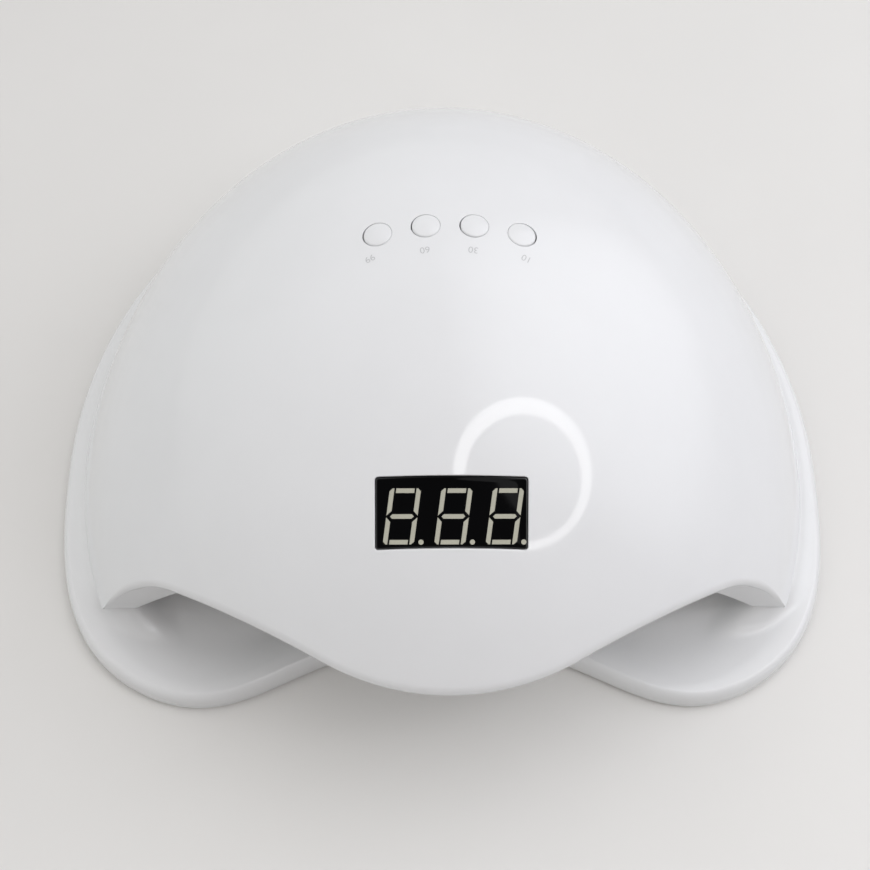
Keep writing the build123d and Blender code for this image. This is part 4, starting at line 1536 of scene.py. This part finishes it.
# ---- Power inlet ----
@dataclass
class PowerInlet(Assembly):
    """The round socket low at the back, with its centre contact."""

    depth: float = 2.0
    socket: Plan = (
        (0.0, -14.0), (5.5, -14.0), (5.5, 0.05), (7.0, 0.05), (7.0, 1.45), (2.8, 1.45), (2.8, -8.05), (0.0, -8.05))
    socket_rounds: tuple[float, ...] = (0.4, 0.0, 0.0, 0.45, 0.4, 0.0)
    contact: Plan = ((0.0, -8.05), (1.05, -8.05), (1.05, 0.45), (0.0, 0.45))
    contact_rounds: tuple[float, ...] = (0.0, 0.6)

    @staticmethod
    def place(depth: float) -> Placement:
        """The inlet's axis, level and out of the back, from a point at a depth under the dome."""
        return Placement(DOME.around(90.0, INLET_Z) - depth * Y_AXIS, -X_AXIS, Z_AXIS, Y_AXIS)

    def build(self) -> None:
        """Makes the socket and the contact, both turned about the inlet's axis."""
        place = self.place(self.depth)
        socket = skins("inlet_socket", [turned(rounded(self.socket, self.socket_rounds), place, 64)])
        edge_sharp(socket)
        self.seat(socket, Finish.INLET, "inlet_black", ["inlet_body"])
        contact = skins("inlet_contact", [turned(rounded(self.contact, self.contact_rounds), place, 40)])
        self.seat(contact, Finish.CONTACT, "pin_brass", ["inlet_pin"])


# ---- Base tray ----
@dataclass
class BaseTray(Assembly):
    """The lift-off tray: a dish with a rolled rim, two front lobes and a raised seat for the housing."""

    body: str = "tray"
    half_width: float = 118.4
    back_y: float = 105.7
    lobes: Plan = ((1.7, -51.6), (14.1, -81.0), (46.6, -96.2), (80.4, -84.6))
    throat_y: float = -77.0
    bottom: float = 1.5
    floor: float = 4.0
    rim: float = 8.0
    rim_out: float = 3.4
    rim_top: float = 0.9
    rim_power: float = 2.1
    lobe_slope: float = 18.5
    throat_slope: float = 6.0
    ramp_y: float = -64.0
    ramp_slope: float = 14.0
    seat_lip: float = -0.3
    seat_corner: float = 9.0
    seat_dip: float = 0.5
    under_wall: float = 2.5
    rib: float = 2.0
    rib_step: float = 20.0
    feet: Plan = ((42.0, -80.0), (31.0, -8.0), (58.0, 50.0))
    foot_recess: float = 6.05
    foot: Plan = ((0.0, 0.35), (4.2, 0.35), (4.5, 0.0), (5.5, 0.0), (6.0, 0.6), (6.0, 2.5), (0.0, 2.5))
    foot_rounds: tuple[float, ...] = (0.2, 0.2, 0.25, 0.3, 0.0)
    magnets: Plan = ((100.41, -50.0), (55.12, 68.0))
    disc_recess: float = 3.25
    columns: int = 620

    def outline(self) -> Array:
        """The outline: a spline down the right side to the throat, mirrored, and an ellipse round the back.

        The spline is cubic between knots, by chord length, with its slope clamped at both ends.

        Returns:
            The outline's plan points, round from the throat.
        """
        knots = np.array([
            (self.half_width, CENTRE_Y), *((self.half_width - x, y) for x, y in self.lobes), (0.0, self.throat_y)])
        steps = np.diff(knots, axis=0)
        chord = np.linalg.norm(steps, axis=1)
        system, target = np.eye(len(knots)), np.zeros_like(knots)
        target[0], target[-1] = (0.0, -1.0), (-1.0, 0.0)
        for i in range(1, len(steps)):
            before, after = 1.0 / chord[i - 1], 1.0 / chord[i]
            system[i, i - 1:i + 2] = before, 2.0 * (before + after), after
            target[i] = 3.0 * (steps[i - 1] * before ** 2 + steps[i] * after ** 2)
        slopes = np.linalg.solve(system, target)
        leave, reach = slopes[:-1] * chord[:, None], slopes[1:] * chord[:, None]
        t = np.linspace(0.0, 1.0, 240)[:, None]
        side = (
            (2 * t ** 3 - 3 * t ** 2 + 1) * knots[:-1, None] + (t ** 3 - 2 * t ** 2 + t) * leave[:, None]
            + (3 * t ** 2 - 2 * t ** 3) * knots[1:, None] + (t ** 3 - t ** 2) * reach[:, None]).reshape(-1, 2)
        turn = np.linspace(0.0, math.pi, 900)
        depth = self.back_y - CENTRE_Y
        back = np.stack([self.half_width * np.cos(turn), CENTRE_Y + depth * np.sin(turn)], axis=-1)
        return np.concatenate([side[::-1], back, side * (-1.0, 1.0)])

    def height(self, x: Array, y: Array, inset: Array) -> Array:
        """Height of the tray's upper side.

        The rim is a quarter of a superellipse outside, then level. Inside it the dish falls evenly to the
        floor, faster in the hand cavity, whose own side falls at 45 degrees, and no faster than the ramp
        in front. The seat is level, and falls at 45 degrees outside its plan and inside the hand cavity.
        The greater of dish and seat shows, with soft creases.

        Args:
            x: X of each point.
            y: Y of each point.
            inset: How far each point lies inside the outline.

        Returns:
            The heights.
        """
        out = np.clip(1.0 - inset / self.rim_out, 0.0, 1.0)
        outside = self.bottom + (self.rim - self.bottom) * (1.0 - out ** self.rim_power) ** (1.0 / self.rim_power)

        # The dish: how far in from its edge each slope has got, then the lowest that all allow
        inward = (inset - self.rim_out - self.rim_top) * (self.rim - self.floor)
        lobe, throat = self.rim - inward / self.lobe_slope, self.rim - inward / self.throat_slope
        ramp = self.floor + (self.ramp_y - y) * math.tan(math.radians(self.ramp_slope))
        inside_cavity = -VAULT.beyond(x, y)
        steep = soft_max(soft_max(throat, ramp, 1.0), SEAT_Z - inside_cavity, 1.5)
        dish = soft_max(soft_min(lobe, steep, 1.0), self.floor, 0.8)
        land = np.minimum(outside, soft_min(dish, self.rim, 0.7))

        # The seat's plan: the dome's footprint cut at the pillar faces, with round front corners
        side = DOME.beyond(x, y) - self.seat_lip + self.seat_corner
        face = PILLAR_FACE_Y - self.seat_lip - y + self.seat_corner
        corner = np.hypot(np.maximum(side, 0.0), np.maximum(face, 0.0))
        outside_seat = corner + np.minimum(np.maximum(side, face), 0.0) - self.seat_corner
        away = soft_max(outside_seat, inside_cavity, 7.0)
        seat = SEAT_Z - soft_max(away, 0.0, 1.8) - self.seat_dip * smooth(PILLAR_FACE_Y - y, -3.0, 0.0)
        return soft_max(seat, land, 3.5)

    def rings(self) -> Array:
        """The tray as rings about the centre: from a pole in the dish out to the rim, down and under.

        Returns:
            The rings as (ring, column, 3).
        """
        across, back = (self.outline() - (0.0, CENTRE_Y)).T
        radius = partial(
            np.interp, xp=np.arctan2(back, across), fp=np.hypot(across, back), period=2 * math.pi)
        fan = Fan(even_angles(radius, (-math.pi / 2, 1.5 * math.pi), (self.columns,)))
        edge = radius(fan.angles)
        step = 0.002
        swing = (radius(fan.angles + step) - radius(fan.angles - step)) / (2 * step)
        square = edge / np.hypot(edge, swing)
        shares = np.concatenate([
            np.linspace(0.0, 0.62, 12)[:-1], np.linspace(0.62, 0.9, 58)[:-1], np.linspace(0.9, 1.0, 64)])
        shares = 1.0 - (1.0 - shares) * np.where(shares > 0.995, 0.6, 1.0)
        rings = []
        for share in shares:
            distance = edge * share
            rings.append(fan.at(distance, self.height(*fan.plan(distance), (edge - distance) * square)))
        rings += [fan.at(edge - inset, self.bottom) for inset in (0.5, 4.0, 30.0, edge)]
        return np.stack(rings)

    def bays(self) -> list[MeshData]:
        """Tools for the hollows between the ribs under the seat, as sectors of a ring.

        Returns:
            A tool for each bay that is clear of the pillars and wide enough.
        """
        tools = []
        step = math.radians(self.rib_step)
        low, high = self.bottom - 1.0, SEAT_Z - self.under_wall
        for bay in range(round(2 * math.pi / step)):
            turn = np.linspace(bay * step, (bay + 1) * step, 26)
            outer, inner = DOME.footprint(turn, -self.under_wall), VAULT.footprint(turn, self.under_wall)
            trim = self.rib / 2 / inner
            fan = Fan(np.clip(turn, turn[0] + trim, turn[-1] - trim))
            if fan.plan(outer)[1].min() < PILLAR_FACE_Y + 2 * self.under_wall or (outer - inner).min() < 1.0:
                continue
            loop = np.concatenate([fan.at(outer, 0.0), fan.at(inner, 0.0)[::-1]])[:, :2]
            middle = loop.mean(axis=0)
            stops = ((low, 0.0), (low, 1.0), (high, 1.0), (high, 0.0))
            tools.append(skin(np.stack([raised(middle + (loop - middle) * grow, z) for z, grow in stops])))
        return tools

    def build(self) -> None:
        """Makes the tray with its ribbed underside and recesses, then its feet."""
        tray = skins("tray_shell", [self.rings()], flip=True)
        feet = [(side * (self.half_width - x), y) for x, y in self.feet for side in (-1, 1)]
        discs = [(side * x, y) for x, y in self.magnets for side in (-1, 1)]
        carve(tray, [
            *(drum(self.foot_recess, Placement.upright(x, y, self.bottom), 56) for x, y in feet),
            *(drum(self.disc_recess, Placement.upright(x, y, SEAT_Z), 40) for x, y in discs),
            *self.bays(),
        ])
        edge_sharp(tray, 60.0)
        self.seat(tray, Finish.TRAY, "tray_plastic", ["base_tray"])
        profile = rounded(self.foot, self.foot_rounds)
        pads = skins("foot_pads", [turned(profile, Placement.upright(x, y, 0.0), 48) for x, y in feet])
        edge_sharp(pads, 50.0)
        self.seat(pads, Finish.FOOT, "foot_rubber", ["rubber_feet"])


# ---- Inner works, carried over ----
@dataclass
class InnerWorks(Assembly):
    """The pieces that keep their own shape, each in its finish."""

    finishes: dict[str, Finish] = field(default_factory=lambda: {
        "tray_discs": Finish.DISC, "head_magnets": Finish.MAGNET, "housing_screws": Finish.SCREW,
        "board_screws": Finish.SCREW, "display_housing": Finish.DISPLAY_BODY, "display_board": Finish.BOARD,
        "control_board": Finish.BOARD, "driver_board": Finish.BOARD, "switch_bodies": Finish.SWITCH,
        "driver_parts": Finish.CANS, "inlet_nut": Finish.INLET,
        **{f"plunger_{number}": Finish.PLUNGER for number in BUTTON_NUMBERS},
        **{f"led_pads_{side}": Finish.PAD for side in ("right", "left", "back", "top")},
    })

    def build(self) -> None:
        """Dresses every node that is still shown."""
        for name, node in sorted(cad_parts.items()):
            if not node.hide_render:
                self.wardrobe.dress(node, self.finishes[name])
                LOG.info("%s keeps its own shape", name)


# ---- Picture ----
class LampFace(Enum):
    """How a lamp's strength varies over its face."""

    SOFT_BOX = "soft_box"
    RING = "ring"


@dataclass(frozen=True)
class Lamp:
    """A rectangular lamp that faces a point, in metres."""

    name: str
    place: Point
    target: Point
    size: tuple[float, float]
    power: float
    colour: Colour
    face: LampFace = LampFace.SOFT_BOX


@dataclass(frozen=True)
class Glow:
    """A broad soft glow of the room, brightest in one direction and gone at right angles to it."""

    towards: Point
    colour: Colour


@dataclass
class Studio:
    """The table, the lights and the camera."""

    lamps: tuple[Lamp, ...] = (
        Lamp("window", (1.15, 0.3, 1.1), (0.0, 0.0, 0.03), (3.4, 2.8), 25.9, (0.914, 0.946, 1.0)),
        Lamp("ring", (0.268, -0.336, 0.57), (0.088, -0.44, 0.03), (0.56, 0.56), 4.0, (1.0, 1.0, 1.0), LampFace.RING),
    )
    glows: tuple[Glow, ...] = (
        Glow((0.0, 0.0, 1.0), (0.243, 0.189, 0.172)), Glow((-0.8, 0.2, 0.55), (0.912, 0.957, 0.963)))
    backdrop: Colour = (0.78, 0.77, 0.75)
    table_reach: float = 2600.0
    ring_band: tuple[float, ...] = (0.379, 0.386, 0.456, 0.463)
    eye: Point = (-9.2, -182.65, 376.6)
    forward: Point = (0.0162, 0.4232, -0.9059)
    up: Point = (0.0005, 0.906, 0.4233)
    lens: float = 52.73

    @staticmethod
    def aim(thing: bpy.types.Object, place: Array, back: Array, up: Array) -> None:
        """Puts a lamp or a camera in its place, and turns it.

        Args:
            thing: The lamp or camera.
            place: Where it stands, in metres.
            back: The direction that it looks away from.
            up: A direction above the middle of its view.
        """
        back = unit(back)
        right = unit(np.cross(up, back))
        rows = np.stack([right, np.cross(back, right), back], axis=1)
        thing.matrix_world = Matrix.Translation(place) @ Matrix(rows.tolist()).to_4x4()

    def light(self, lamp: Lamp) -> None:
        """Adds a lamp.

        A soft box's strength is 36 u (1 - u) v (1 - v) over its face, brightest in the middle and gone at
        its edges. A ring's is 1.3 - 0.3 (u + v) in a band round the middle of its face and 0 elsewhere.

        Args:
            lamp: The lamp.
        """
        data = bpy.data.lights.new(lamp.name, "AREA")
        data.shape = "RECTANGLE"
        data.size, data.size_y = lamp.size
        data.energy = lamp.power
        data.color = lamp.colour
        data.use_nodes = True
        graph = Graph(data.node_tree)
        face = graph.node("ShaderNodeNewGeometry", {}, output="Parametric")
        u, v = (graph.node("ShaderNodeSeparateXYZ", {}, face, output=axis) for axis in "XY")
        if lamp.face is LampFace.RING:
            flat = graph.vector("MULTIPLY", face, (1.0, 1.0, 0.0))
            away = graph.vector("DISTANCE", flat, (0.5, 0.5, 0.0), output="Value")
            start, full, fade, end = self.ring_band
            share = away.step(start, full) * (1.0 - away.step(fade, end)) * (1.3 - 0.3 * u - 0.3 * v)
        else:
            share = u * (1.0 - u) * v * (1.0 - v) * 36.0
        graph.feed(graph.tree.nodes["Emission"].inputs["Color"], graph.vector("SCALE", (1.0, 1.0, 1.0), Scale=share))
        place = np.array(lamp.place)
        self.aim(add(lamp.name, data), place, place - lamp.target, Y_AXIS)

    def camera(self) -> None:
        """Adds the camera from where the photograph was taken."""
        data = bpy.data.cameras.new("camera")
        data.lens = self.lens
        data.sensor_width = 36.0
        data.clip_start = 0.01
        camera = add("camera", data)
        self.aim(camera, np.array(self.eye) * MM, -np.array(self.forward), np.array(self.up))
        bpy.context.scene.camera = camera

    def world(self) -> None:
        """Soft light from broad glows of the room, and a pale backdrop for camera, glossy and transmission rays."""
        world = bpy.data.worlds.new("studio")
        world.use_nodes = True
        bpy.context.scene.world = world
        graph = Graph(world.node_tree)
        direction = graph.node("ShaderNodeTexCoord", {}, output="Generated")
        light = (0.0, 0.0, 0.0)
        for glow in self.glows:
            facing = graph.vector("DOT_PRODUCT", direction, tuple(unit(np.array(glow.towards))), output="Value")
            light = graph.vector("ADD", light, graph.vector("SCALE", glow.colour, Scale=facing.step(0.0, 1.0)))
        room = graph.tree.nodes["Background"]
        graph.feed(room.inputs["Color"], light)
        backdrop = graph.node("ShaderNodeBackground", {}, (*self.backdrop, 1.0), 1.0)
        rays = ("Is Camera Ray", "Is Glossy Ray", "Is Transmission Ray")
        seen = sum(graph.node("ShaderNodeLightPath", {}, output=ray) for ray in rays)
        shown = graph.node("ShaderNodeMixShader", {}, seen.step(0.0, 1.0), Shade(graph, room.outputs[0]), backdrop)
        graph.feed(graph.tree.nodes["World Output"].inputs["Surface"], shown)

    def build(self, wardrobe: Wardrobe) -> None:
        """Sets up the picture.

        Args:
            wardrobe: The finishes.
        """
        corners = np.array([(-1, -1, 0), (1, -1, 0), (1, 1, 0), (-1, 1, 0)]) * self.table_reach
        table = make_object("table_top", corners, [[0, 1, 2, 3]])
        wardrobe.dress(table, Finish.TABLE)
        table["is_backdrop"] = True
        for lamp in self.lamps:
            self.light(lamp)
        self.world()
        self.camera()
        bpy.context.scene.view_settings.view_transform = "Standard"


def write_sizes() -> None:
    """Works out the box of the CAD model and the box of what is shown."""
    boxes = [[[float(v) for v in corner] for corner in box] for box in (CAD_BOX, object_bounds())]


def main() -> None:
    """Builds the lamp and its picture."""
    logging.basicConfig(level=logging.INFO, format="%(name)s %(message)s")
    wardrobe = Wardrobe()
    Studio().build(wardrobe)
    buttons = ButtonRow(wardrobe)
    cover = TopCover(wardrobe)
    cover.build(buttons.placements())
    CavityLiner(wardrobe).build()
    buttons.build()
    Display(wardrobe).build(cover.display_place())
    PowerInlet(wardrobe).build()
    BaseTray(wardrobe).build()
    InnerWorks(wardrobe).build()
    write_sizes()


if __name__ == "__main__":
    main()
